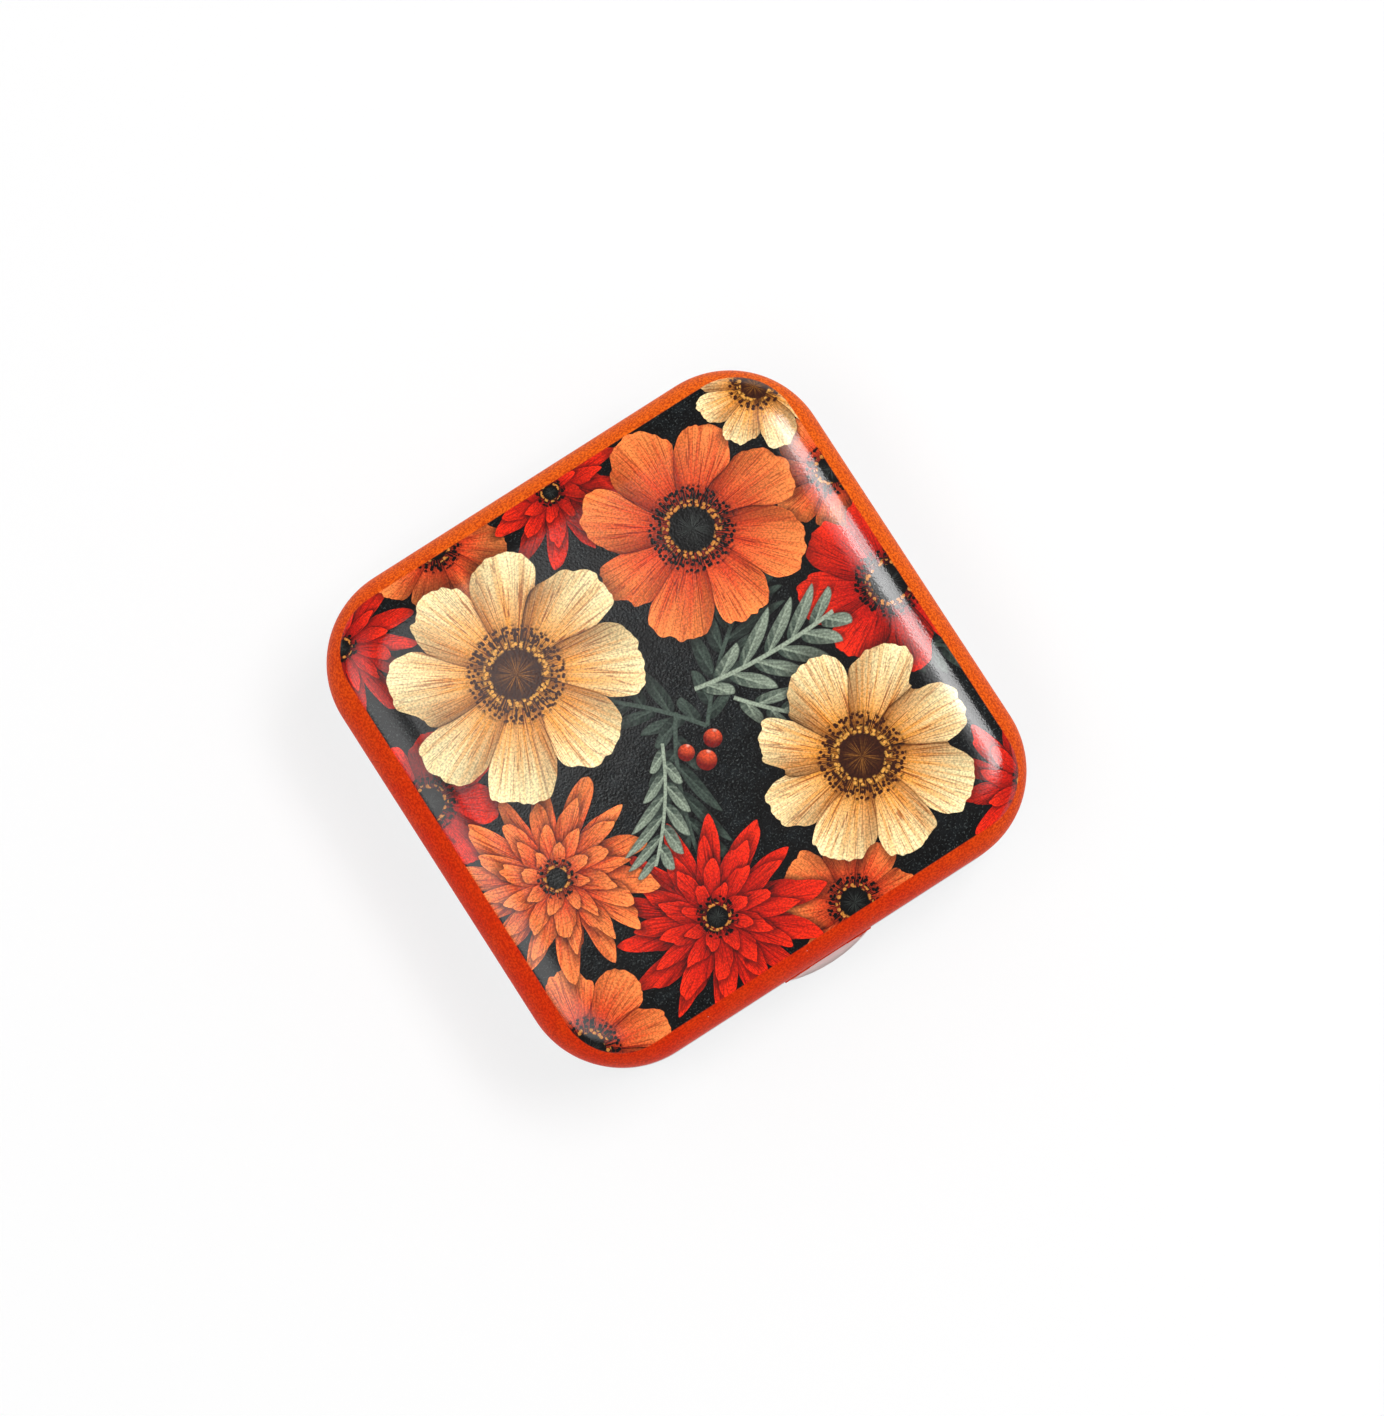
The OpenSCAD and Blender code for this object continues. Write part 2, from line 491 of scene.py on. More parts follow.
@dataclass
class SheetSweep:
    """Geometry Nodes that carry a section from station to station and weld the sheet that it leaves."""

    tree: bpy.types.NodeTree = field(init=False)

    def __post_init__(self) -> None:
        """Builds the tree."""
        self.tree = bpy.data.node_groups.new("Sheet carried round the outline", "GeometryNodeTree")
        self.tree.is_modifier = True
        face = self.tree.interface
        face.new_socket("Section", in_out="INPUT", socket_type="NodeSocketGeometry")
        face.new_socket("Stations", in_out="INPUT", socket_type="NodeSocketObject")
        weld = face.new_socket("Weld", in_out="INPUT", socket_type="NodeSocketFloat")
        weld.default_value = WELD
        face.new_socket("Material", in_out="INPUT", socket_type="NodeSocketMaterial")
        face.new_socket("Sheet", in_out="OUTPUT", socket_type="NodeSocketGeometry")
        self._build(Sketch(self.tree))

    def _build(self, sketch: Sketch) -> None:
        """Adds the nodes.

        Args:
            sketch: What adds nodes to the tree.
        """
        link = self.tree.links.new
        given = sketch.node("NodeGroupInput").outputs
        stations = sketch.node("GeometryNodeObjectInfo", transform_space="RELATIVE")
        link(given["Stations"], stations.inputs["Object"])
        sources = given["Section"], stations.outputs["Geometry"]
        counts = []
        for source in sources:
            count = sketch.node("GeometryNodeAttributeDomainSize", component="MESH")
            link(source, count.inputs["Geometry"])
            counts.append(sketch.wire(count.outputs["Point Count"]))
        grid = sketch.node("GeometryNodeMeshGrid")
        link(counts[1].out, grid.inputs["Vertices X"])
        link(counts[0].out, grid.inputs["Vertices Y"])
        index = sketch.wire(sketch.node("GeometryNodeInputIndex").outputs[0])
        station = ((index + 0.5) / counts[0]).floor()
        point = index - station * counts[0]
        position = sketch.node("GeometryNodeInputPosition").outputs[0]
        outward = sketch.node("GeometryNodeInputNamedAttribute", data_type="FLOAT_VECTOR")
        outward.inputs["Name"].default_value = "outward"
        at = self._sample(sketch, sources[1], position, station)
        out = self._sample(sketch, sources[1], outward.outputs["Attribute"], station)
        reach, _, height = sketch.split(self._sample(sketch, sources[0], position, point))
        level = sketch.combined("ADD", at, sketch.scaled(out, reach)).outputs[0]
        place = sketch.combined("ADD", level, sketch.vector(0.0, 0.0, height))
        steps = [
            ("GeometryNodeSetPosition", {"Position": place.outputs[0]}),
            ("GeometryNodeMergeByDistance", {"Distance": given["Weld"]}),
            ("GeometryNodeSetShadeSmooth", {}),
            ("GeometryNodeRealizeInstances", {}),
            ("GeometryNodeSetMaterial", {"Material": given["Material"]}),
        ]
        shape = grid.outputs["Mesh"]
        for kind, extra in steps:
            step = sketch.node(kind)
            link(shape, step.inputs[0])
            for name, source in extra.items():
                link(source, step.inputs[name])
            shape = step.outputs[0]
        link(shape, sketch.node("NodeGroupOutput").inputs[0])

    def _sample(self, sketch: Sketch, source: Socket, value: Socket, index: Wire) -> Socket:
        """Reads a vector from one point of a geometry.

        Args:
            sketch: What adds nodes to the tree.
            source: The geometry.
            value: What is read.
            index: Which point it is read from.

        Returns:
            The vector.
        """
        node = sketch.node("GeometryNodeSampleIndex", data_type="FLOAT_VECTOR", domain="POINT")
        self.tree.links.new(source, node.inputs["Geometry"])
        self.tree.links.new(value, node.inputs["Value"])
        self.tree.links.new(index.out, node.inputs["Index"])
        return node.outputs[0]

    def sheet(
        self, section: Section, stations: list[Station], material: bpy.types.Material
    ) -> bpy.types.Mesh:
        """Makes the sheet that one section leaves as it passes the stations.

        Args:
            section: The section.
            stations: The stations.
            material: The sheet's material.

        Returns:
            The sheet, as a mesh with no thickness.
        """
        path = bpy.data.meshes.new("stations")
        path.from_pydata([at for at, _ in stations], [], [])
        outward = path.attributes.new("outward", "FLOAT_VECTOR", "POINT")
        outward.data.foreach_set("vector", [c for _, out in stations for c in out])
        guide = linked(bpy.data.objects.new("stations", path))
        piece = linked(bpy.data.objects.new("section", section.guide()))
        modifier = piece.modifiers.new("sweep", "NODES")
        modifier.node_group = self.tree
        inputs = {item.name: item.identifier for item in self.tree.interface.items_tree}
        modifier[inputs["Stations"]] = guide
        modifier[inputs["Material"]] = material
        made = evaluated(piece)
        bpy.data.objects.remove(piece)
        bpy.data.objects.remove(guide)
        return made


def linked(thing: bpy.types.Object) -> bpy.types.Object:
    """Links an object into the scene, and returns it."""
    bpy.context.scene.collection.objects.link(thing)
    return thing


def evaluated(thing: bpy.types.Object) -> bpy.types.Mesh:
    """Returns an object's mesh with its modifiers applied."""
    depsgraph = bpy.context.evaluated_depsgraph_get()
    return bpy.data.meshes.new_from_object(thing.evaluated_get(depsgraph), depsgraph=depsgraph)


# ---------- Finishes ----------


def principled(name: str, **values: object) -> tuple[Sketch, bpy.types.Node, bpy.types.Material]:
    """Makes a material with one Principled shader.

    Args:
        name: The material's name.
        values: The shader's plain values, named as its sockets are, with _ for a space.

    Returns:
        What adds nodes to its tree, the shader and the material.
    """
    material = bpy.data.materials.new(name)
    material.use_nodes = True
    sketch = Sketch(material.node_tree)
    shader = material.node_tree.nodes["Principled BSDF"]
    for socket, value in values.items():
        feed(material.node_tree, value, shader.inputs[socket.replace("_", " ")])
    return sketch, shader, material


def place_mm(sketch: Sketch) -> Socket:
    """Returns the place on the object, in millimetres."""
    return sketch.scaled(sketch.node("ShaderNodeTexCoord").outputs["Object"], 1 / MM)


def dent(sketch: Sketch, shader: bpy.types.Node, height: Wire, depth: float) -> None:
    """Gives a shader the fine relief of its surface.

    Args:
        sketch: What adds nodes to the tree.
        shader: The shader.
        height: The relief, from 0 to 1.
        depth: How deep the relief is, in metres.
    """
    bump = sketch.node("ShaderNodeBump")
    bump.inputs["Distance"].default_value = depth
    feed(sketch.tree, height, bump.inputs["Height"])
    for socket in ("Normal", "Coat Normal"):
        sketch.tree.links.new(bump.outputs["Normal"], shader.inputs[socket])


@dataclass(frozen=True)
class BareTinplate:
    """Bright tinplate with the fine lines of the rolls running one way."""

    name: str = "bare tinplate"
    tone: str = "#dededf"
    dull: str = "#bdbec2"
    roll_pitch: float = 0.06
    cloud_scale: float = 0.09
    roughness: float = 0.24
    relief: float = 0.002 * MM

    def material(self) -> bpy.types.Material:
        """Builds the material.

        Returns:
            The material.
        """
        sketch, shader, material = principled(self.name, Metallic=1.0)
        at = place_mm(sketch)
        x, y, z = sketch.split(at)
        lines = sketch.noise(sketch.vector(x * 0.05, y / self.roll_pitch, z * 0.3), 1.0, 2.0)
        cloud = sketch.noise(at, self.cloud_scale, 2.0)
        tone = sketch.mix(cloud.fade(0.3, 0.75) * 0.25 + lines * 0.5, ink(self.tone), ink(self.dull))
        feed(sketch.tree, tone, shader.inputs["Base Color"])
        feed(sketch.tree, lines * 0.2 + cloud * 0.06 + self.roughness, shader.inputs["Roughness"])
        dent(sketch, shader, lines + cloud, self.relief)
        return material


@dataclass(frozen=True)
class DrawnWire:
    """Steel wire with the long scratches of the die."""

    tone: str = "#9a9ca0"
    dull: str = "#6f7175"
    scratches: float = 14.0
    relief: float = 0.003 * MM

    def material(self) -> bpy.types.Material:
        """Builds the material.

        Returns:
            The material.
        """
        sketch, shader, material = principled("drawn wire", Metallic=1.0)
        x, y, z = sketch.split(place_mm(sketch))
        lines = sketch.noise(sketch.vector(x * 0.2, y * self.scratches, z * self.scratches), 1.0, 2.0)
        tone = sketch.mix(lines * 0.5, ink(self.tone), ink(self.dull))
        feed(sketch.tree, tone, shader.inputs["Base Color"])
        feed(sketch.tree, lines * 0.25 + 0.2, shader.inputs["Roughness"])
        dent(sketch, shader, lines, self.relief)
        return material


@dataclass(frozen=True)
class OrangeVarnish:
    """Grainy orange ink under a thin matt varnish, worn to bare metal in a few specks."""

    # bright and deep are a lit and a shaded copy of the orange ink. They are painted light and shade: bright
    # where the light falls, deep where it doesn't.
    bright: str = "#f67012"
    deep: str = "#dc2a03"
    dot: str = "#a81c02"
    bared: str = "#f3e3dc"
    roughness: float = 0.5
    specular: float = 0.07
    grain_scale: float = 4.2
    speck_scale: float = 2.6
    cloud_scale: float = 0.35
    swell_scale: float = 0.3
    # How far the painted light and shade runs from deep to bright, in millimetres either side of the middle.
    painted_light_reach: float = 20.0
    relief_depth: float = 0.02 * MM

    def colour(self, sketch: Sketch, at: Socket) -> Socket:
        """Returns the ink's colour.

        Args:
            sketch: What adds nodes to the tree.
            at: The place, in millimetres.

        Returns:
            The colour.
        """
        x, y, _ = sketch.split(at)
        # Painted light and shade: the ink runs from deep red at the front left to bright orange at the rear
        # right, as the light falls. The cloud laid over it is random tone.
        lean = (x * 0.7 + y * 0.7).fade(-self.painted_light_reach, self.painted_light_reach)
        cloud = sketch.noise(at, self.cloud_scale, 2.0)
        tone = sketch.mix(lean * 0.8 + cloud * 0.3 - 0.05, ink(self.deep), ink(self.bright))
        tone = sketch.mix(self.grain(sketch, at) * 0.7 - 0.02, tone, ink(self.dot))
        specks = sketch.noise(at, self.speck_scale, 1.0).fade(0.81, 0.85)
        return sketch.mix(specks, tone, ink(self.bared))

    def grit(self, sketch: Sketch, at: Socket) -> Wire:
        """Returns the soft noise that the grain is drawn from, at a place in millimetres."""
        return sketch.noise(at, self.grain_scale, 1.0)

    def grain(self, sketch: Sketch, at: Socket) -> Wire:
        """Returns the print's fine grain, from 0 to 1, at a place in millimetres."""
        return self.grit(sketch, at).fade(0.32, 0.68)

    def relief(self, sketch: Sketch, shader: bpy.types.Node, at: Socket) -> None:
        """Gives the varnish its fine pebbled surface.

        Args:
            sketch: What adds nodes to the tree.
            shader: The shader.
            at: The place, in millimetres.
        """
        swell = sketch.noise(at, self.swell_scale)
        dent(sketch, shader, self.grit(sketch, at) * 0.5 + swell, self.relief_depth)

    def material(self) -> bpy.types.Material:
        """Builds the material.

        Returns:
            The material.
        """
        sketch, shader, material = principled(
            "orange varnish", Roughness=self.roughness, IOR=1.5, Specular_IOR_Level=self.specular
        )
        at = place_mm(sketch)
        feed(sketch.tree, self.colour(sketch, at), shader.inputs["Base Color"])
        self.relief(sketch, shader, at)
        return material


# ---------- The picture ----------


IN_TURN = 1e-7
SHADOW = (0.003, 0.002, 0.002)


@dataclass
class InkGroup:
    """A group of nodes that prints one motif over the picture below it.

    Its reach is how far the printing goes from the middle, in the motif's own radii.
    """

    REACH = 1.0

    name: str
    numbers: dict[str, float]
    colours: tuple[str, ...]
    tree: bpy.types.NodeTree = field(init=False)

    def __post_init__(self) -> None:
        """Builds the group's sockets and its nodes."""
        self.tree = bpy.data.node_groups.new(self.name, "ShaderNodeTree")
        face = self.tree.interface
        for name in ("Place", "Centre"):
            face.new_socket(name, in_out="INPUT", socket_type="NodeSocketVector")
        for name, value in self.numbers.items():
            face.new_socket(name, in_out="INPUT", socket_type="NodeSocketFloat").default_value = value
        for name in ("Below", *self.colours):
            face.new_socket(name, in_out="INPUT", socket_type="NodeSocketColor")
        face.new_socket("Picture", in_out="OUTPUT", socket_type="NodeSocketColor")
        sketch = Sketch(self.tree)
        given = sketch.node("NodeGroupInput").outputs
        away = sketch.combined("SUBTRACT", given["Place"], given["Centre"])
        picture = self.draw(sketch, given, away.outputs[0])
        feed(self.tree, picture, sketch.node("NodeGroupOutput").inputs[0])

    def draw(self, sketch: Sketch, given: bpy.types.bpy_prop_collection, away: Socket) -> Socket:
        """Adds the motif's nodes.

        Args:
            sketch: What adds nodes to the group.
            given: The group's inputs.
            away: The place, measured from the motif's centre.

        Returns:
            The picture with the motif on it.
        """
        raise NotImplementedError

    def print_on(self, sketch: Sketch, at: Socket, below: Socket, values: dict[str, object]) -> Socket:
        """Prints the motif once.

        Args:
            sketch: What adds nodes to the material.
            at: The place, in millimetres.
            below: The picture so far.
            values: The group's other inputs.

        Returns:
            The picture with the motif on it.
        """
        # A place that hangs on the picture below keeps the renderer from working out every motif at once,
        # which its memory for one material wouldn't hold. The shift is far too small to see.
        after = sketch.combined("MULTIPLY_ADD", below, (IN_TURN,) * 3, at)
        node = sketch.node("ShaderNodeGroup", node_tree=self.tree)
        for name, value in {"Place": after.outputs[0], "Below": below, **values}.items():
            feed(sketch.tree, value, node.inputs[name])
        return node.outputs[0]

    def polar(self, sketch: Sketch, away: Socket) -> tuple[Wire, Socket, Wire]:
        """Measures a place round the motif's centre.

        Args:
            sketch: What adds nodes to the group.
            away: The place, measured from the centre.

        Returns:
            Its distance, the way out and its angle.
        """
        x, y, _ = sketch.split(away)
        return sketch.length(away), sketch.combined("NORMALIZE", away).outputs[0], y.angle(x)

    def rays(self, sketch: Sketch, way: Socket, count: float, drift: Wire, detail: float = 0.0) -> Wire:
        """Returns noise that is drawn out along the rays from the centre.

        Args:
            sketch: What adds nodes to the group.
            way: The way out from the centre.
            count: How fine the rays are.
            drift: What changes slowly along a ray.
            detail: How many finer layers the noise has.

        Returns:
            The noise, from 0 to 1.
        """
        x, y, _ = sketch.split(way)
        return sketch.noise(sketch.vector(x * count, y * count, drift), 1.0, detail)


class Petals(InkGroup):
    """One row of petals round a centre, each lapping over the next.

    The numbers say how fine the rays are that fold, frill, streak and vein them.
    """

    REACH = 1.25
    FOLDS = 3.2
    FRILLS = 9.0
    STREAKS = 19.0
    VEINS = 38.0

    def __init__(self) -> None:
        """Names the group's sizes and inks."""
        sizes = {
            "Radius": 10.0,
            "Turn": 0.0,
            "Count": 8.0,
            "Notch": 0.3,
            "Roundness": 3.0,
            "Frill": 0.05,
            "Seed": 0.0,
        }
        super().__init__("Petals", sizes, ("Tip", "Throat", "Vein"))

    def draw(self, sketch: Sketch, given: bpy.types.bpy_prop_collection, away: Socket) -> Socket:
        """Adds the petals' nodes.

        Args:
            sketch: What adds nodes to the group.
            given: The group's inputs.
            away: The place, measured from the blossom's centre.

        Returns:
            The picture with the petals on it.
        """
        size = {name: sketch.wire(given[name]) for name in self.numbers}
        distance, way, angle = self.polar(sketch, away)
        r = distance / size["Radius"]
        seed = size["Seed"]
        fold = self.rays(sketch, way, self.FOLDS, r * 1.1 + seed, 1.0)
        lapped = (angle - size["Turn"]) * size["Count"] / math.tau + r * 0.35 + fold * 0.5
        petal = lapped.floor()
        across = lapped - petal - 0.5
        chance = sketch.chance(petal.wrap(size["Count"]) + seed)
        frill = self.rays(sketch, way, self.FRILLS, seed, 1.0) - 0.5
        tip = 1.0 - size["Notch"] * (across.size() * 2.0) ** size["Roundness"]
        edge = tip * (1.0 - chance * 0.12) + frill * size["Frill"] * 2.0
        cover = (edge - r).fade(0.0, (size["Radius"] ** -1.0) * 0.07)
        streak = self.rays(sketch, way, self.STREAKS, r * 1.4 + seed, 1.0).fade(0.42, 0.66)
        thin = (self.rays(sketch, way, self.VEINS, r * 1.7 - seed) - 0.5).size().fade(0.055, 0.012)
        colour = sketch.mix(r.fade(0.22, 0.92), given["Throat"], given["Tip"])
        colour = sketch.mix(streak * (1.2 - r), colour, given["Throat"])
        colour = sketch.mix(thin * (1.35 - r), colour, given["Vein"])
        light = fold * 0.7 + chance * 0.14 + 0.68 + (edge - r).fade(0.14, 0.0) * 0.14
        lap = across.fade(0.02, 0.52) * 0.5 + across.size().fade(0.46, 0.5) * 0.4
        tone = light - lap - r.fade(0.5, 0.15) * 0.25
        grey = sketch.vector(tone, tone * (1.0 - lap * 0.35), tone * (1.0 - lap * 0.6))
        colour = sketch.mix(1.0, colour, grey, "MULTIPLY")
        shadow = r.fade(edge + 0.2, edge - 0.04) * 0.75
        below = sketch.mix(shadow, given["Below"], SHADOW)
        return sketch.mix(cover, below, colour)


class Heart(InkGroup):
    """The dark eye of a blossom, with its ring of stamens.

    The numbers say how fine its rays, its hairs and its grains of pollen are.
    """

    REACH = 2.3
    RAYS = 11.0
    HAIRS = 24.0
    POLLEN = 1.9

    def __init__(self) -> None:
        """Names the group's sizes and inks."""
        super().__init__("Heart", {"Radius": 3.0, "Seed": 0.0}, ("Eye", "Sheen", "Pollen"))

    def draw(self, sketch: Sketch, given: bpy.types.bpy_prop_collection, away: Socket) -> Socket:
        """Adds the heart's nodes.

        Args:
            sketch: What adds nodes to the group.
            given: The group's inputs.
            away: The place, measured from the heart's centre.

        Returns:
            The picture with the heart on it.
        """
        radius, seed = (sketch.wire(given[name]) for name in self.numbers)
        distance, way, _ = self.polar(sketch, away)
        r = distance / radius
        ray = self.rays(sketch, way, self.RAYS, r * 0.6 + seed, 1.0)
        reach = ray.fade(0.3, 0.7) * 0.5 + 1.35
        hairs = (reach - r).fade(0.0, 0.12) * self.rays(sketch, way, self.HAIRS, seed).fade(0.44, 0.56)
        dots = sketch.cells(away, self.POLLEN).fade(0.42, 0.3)
        ring = (r - 1.5).size().fade(0.5, 0.3) * dots
        disc = r.fade(1.06, 0.98)
        picture = sketch.mix(r.fade(2.3, 0.9) * 0.55, given["Below"], given["Eye"])
        picture = sketch.mix(hairs.most(ring), picture, given["Eye"])
        gold = dots * (r - 1.12).size().fade(0.2, 0.08)
        core = sketch.mix(ray.fade(0.4, 0.75) * r.fade(0.95, 0.1) * 0.8, given["Eye"], given["Sheen"])
        picture = sketch.mix(disc, picture, core)
        return sketch.mix(gold, picture, given["Pollen"])


class Spray(InkGroup):
    """A stem with pairs of leaflets that lean towards its tip.

    The numbers say how far the chances of the two sides lie apart, and how fine the leaflets' grain is.
    """

    REACH = 1.45
    SIDES_APART = 31.0
    GRAIN = 3.0

    def __init__(self) -> None:
        """Names the group's sizes and inks."""
        sizes = {"Turn": 0.0, "Length": 16.0, "Spread": 0.26, "Count": 6.0, "Bend": 0.2, "Seed": 0.0}
        super().__init__("Spray", sizes, ("Light", "Dark"))

    def draw(self, sketch: Sketch, given: bpy.types.bpy_prop_collection, away: Socket) -> Socket:
        """Adds the spray's nodes.

        Args:
            sketch: What adds nodes to the group.
            given: The group's inputs.
            away: The place, measured from the stem's foot.

        Returns:
            The picture with the spray on it.
        """
        size = {name: sketch.wire(given[name]) for name in self.numbers}
        turn = sketch.node("ShaderNodeVectorRotate", rotation_type="Z_AXIS")
        feed(self.tree, away, turn.inputs["Vector"])
        feed(self.tree, -size["Turn"], turn.inputs["Angle"])
        x, y, _ = sketch.split(turn.outputs[0])
        along = x / size["Length"]
        across = y / size["Length"] - size["Bend"] * along * along
        side = across.above(0.0)
        off = across.size()
        cell = (along - off * 1.1) * size["Count"] + side * 0.5
        pair = cell.floor()
        middle = (pair + 0.5 - side * 0.5) / size["Count"]
        chance = sketch.chance(pair + side * self.SIDES_APART + size["Seed"])
        taper = (middle * 2.6 + 0.25).most(0.0).sine().most(0.0)
        reach = size["Spread"] * taper * (0.85 + chance * 0.3) + 0.001
        out = off / reach
        width = ((out.least(1.0) ** 0.8) * math.pi).sine().most(0.0) ** 0.7 * 0.47
        w = cell - pair - 0.5 + (chance - 0.5) * 0.12
        inside = width - w.size()
        within = middle.above(0.03) * (1.0 - middle.above(0.99))
        leaf = inside.fade(0.0, 0.06) * within
        stem = off.fade(0.017, 0.009) * along.above(0.0) * (1.0 - along.above(0.98))
        grain = sketch.noise(turn.outputs[0], self.GRAIN, 1.0)
        half = w.fade(-0.05, 0.05)
        veins = ((out * 26.0 - w.size() * 22.0).sine() * 0.5 + 0.5).fade(0.55, 1.0) * 0.25
        light = out.fade(0.0, 1.0) * 0.4 + half * 0.32 + grain * 0.3 + veins - 0.12
        rib = w.size().fade(0.075, 0.03) * out.fade(1.0, 0.7)
        green = sketch.mix(light, given["Dark"], given["Light"])
        green = sketch.mix(rib * 0.8, green, given["Light"])
        green = sketch.mix(inside.fade(0.09, 0.02) * 0.6, green, given["Dark"])
        shade = inside.fade(-0.35, 0.0) * within * out.fade(1.15, 0.9) * 0.5
        below = sketch.mix(shade, given["Below"], SHADOW)
        picture = sketch.mix(leaf, below, green)
        return sketch.mix(stem, picture, given["Light"])


class Berry(InkGroup):
    """A round berry with a highlight."""

    REACH = 1.5

    def __init__(self) -> None:
        """Names the group's sizes and inks."""
        super().__init__("Berry", {"Radius": 1.2}, ("Light", "Dark"))

    def draw(self, sketch: Sketch, given: bpy.types.bpy_prop_collection, away: Socket) -> Socket:
        """Adds the berry's nodes.

        Args:
            sketch: What adds nodes to the group.
            given: The group's inputs.
            away: The place, measured from the berry's centre.

        Returns:
            The picture with the berry on it.
        """
        radius = sketch.wire(given["Radius"])
        r = sketch.length(away) / radius
        x, y, _ = sketch.split(away)
        lit = ((x + y) / radius * 0.45 + 0.5 - r * r * 0.35).fade(0.0, 0.9)
        spot = (lit - 0.93).fade(0.0, 0.05)
        skin = sketch.mix(lit, given["Dark"], given["Light"])
        skin = sketch.mix(spot * 0.7, skin, (0.95, 0.8, 0.65))
        below = sketch.mix(r.fade(1.5, 0.95) * 0.7, given["Below"], SHADOW)
        return sketch.mix(r.fade(1.04, 0.96), below, skin)


@dataclass
class Press:
    """The four groups that the motifs are printed with."""

    petals: Petals = field(default_factory=Petals)
    heart: Heart = field(default_factory=Heart)
    spray: Spray = field(default_factory=Spray)
    berry: Berry = field(default_factory=Berry)


@dataclass(frozen=True)
class Layer:
    """One printing of one group, and the circle that it stays in, in millimetres from the lid's middle."""

    group: InkGroup
    middle: Vector
    reach: float
    values: dict[str, object]


@dataclass(frozen=True)
class Palette:
    """The inks of one kind of blossom."""

    tip: str
    throat: str
    vein: str
    eye: str = "#080606"
    sheen: str = "#4c524e"
    pollen: str = "#d98a3a"

    def petal_inks(self) -> dict[str, Colour]:
        """Returns the colours that the petals are printed in."""
        return {"Tip": ink(self.tip), "Throat": ink(self.throat), "Vein": ink(self.vein)}

    def heart_inks(self) -> dict[str, Colour]:
        """Returns the colours that the heart is printed in."""
        return {"Eye": ink(self.eye), "Sheen": ink(self.sheen), "Pollen": ink(self.pollen)}


class Shade(Enum):
    """The colours that the blossoms come in."""

    CREAM = Palette("#ffedb4", "#f59e34", "#98400a", "#3a1606", "#c07a2c", "#eaa648")
    CORAL = Palette("#ff8c46", "#de3e16", "#881606")
    RED = Palette("#f42a0a", "#c01005", "#540403")


@dataclass(frozen=True)
class Bloom:
    """One blossom of the picture, in millimetres from the lid's middle."""

    x: float
    y: float
    radius: float
    shade: Shade
    turn: float = 0.0
    count: int = 8
    rows: int = 1
    notch: float = 0.26
    roundness: float = 3.0
    heart: float = 0.2
    row_turn: float = 0.47

    def layers(self, press: Press, seed: int) -> list[Layer]:
        """Returns the blossom's rows of petals, from the outermost in, and its heart.

        Args:
            press: The groups that it is printed with.
            seed: What sets its chances apart from the others'.

        Returns:
            The layers.
        """
        middle = Vector((self.x, self.y, 0))
        found = []
        for row in range(self.rows):
            radius = self.radius * (1 - row / (self.rows + 0.6))
            values = {
                "Centre": middle,
                "Radius": radius,
                "Turn": self.turn + row * self.row_turn,
                "Count": float(self.count - 2 * row),
                "Notch": self.notch,
                "Roundness": self.roundness,
                "Seed": seed * 7.0 + row,
            }
            values |= self.shade.value.petal_inks()
            found.append(Layer(press.petals, middle, radius * Petals.REACH, values))
        radius = self.radius * self.heart
        values = {"Centre": middle, "Radius": radius, "Seed": seed * 3.0} | self.shade.value.heart_inks()
        return found + [Layer(press.heart, middle, radius * Heart.REACH, values)]


@dataclass(frozen=True)
class Leaves:
    """One spray of the picture, in millimetres from the lid's middle."""

    x: float
    y: float
    turn: float
    length: float
    bend: float = 0.2
    count: int = 6
    spread: float = 0.26
    light: str = "#a3b09b"
    dark: str = "#37453d"

    def layers(self, press: Press, seed: int) -> list[Layer]:
        """Returns the spray as one layer.

        Args:
            press: The groups that it is printed with.
            seed: What sets its chances apart from the others'.

        Returns:
            The layer, alone in a list.
        """
        foot = Vector((self.x, self.y, 0))
        values = {
            "Centre": foot,
            "Turn": self.turn,
            "Length": self.length,
            "Spread": self.spread,
            "Count": float(self.count),
            "Bend": self.bend,
            "Seed": seed * 5.0,
            "Light": ink(self.light),
            "Dark": ink(self.dark),
        }
        half = self.length / 2
        middle = foot + half * Vector((math.cos(self.turn), math.sin(self.turn), 0))
        return [Layer(press.spray, middle, half * Spray.REACH, values)]


@dataclass(frozen=True)
class Fruit:
    """One berry of the picture, in millimetres from the lid's middle."""

    x: float
    y: float
    radius: float = 1.1
    light: str = "#f0552c"
    dark: str = "#7a0d08"

    def layers(self, press: Press, seed: int) -> list[Layer]:
        """Returns the berry as one layer.

        Args:
            press: The groups that it is printed with.
            seed: Not needed here, because a berry has no chances. It is given to every motif.

        Returns:
            The layer, alone in a list.
        """
        middle = Vector((self.x, self.y, 0))
        values = {
            "Centre": middle,
            "Radius": self.radius,
            "Light": ink(self.light),
            "Dark": ink(self.dark),
        }
        return [Layer(press.berry, middle, self.radius * Berry.REACH, values)]


SHADED = {"light": "#4c5a50", "dark": "#1d2622"}
DAHLIA = {"notch": 0.5, "roundness": 1.4, "heart": 0.1}

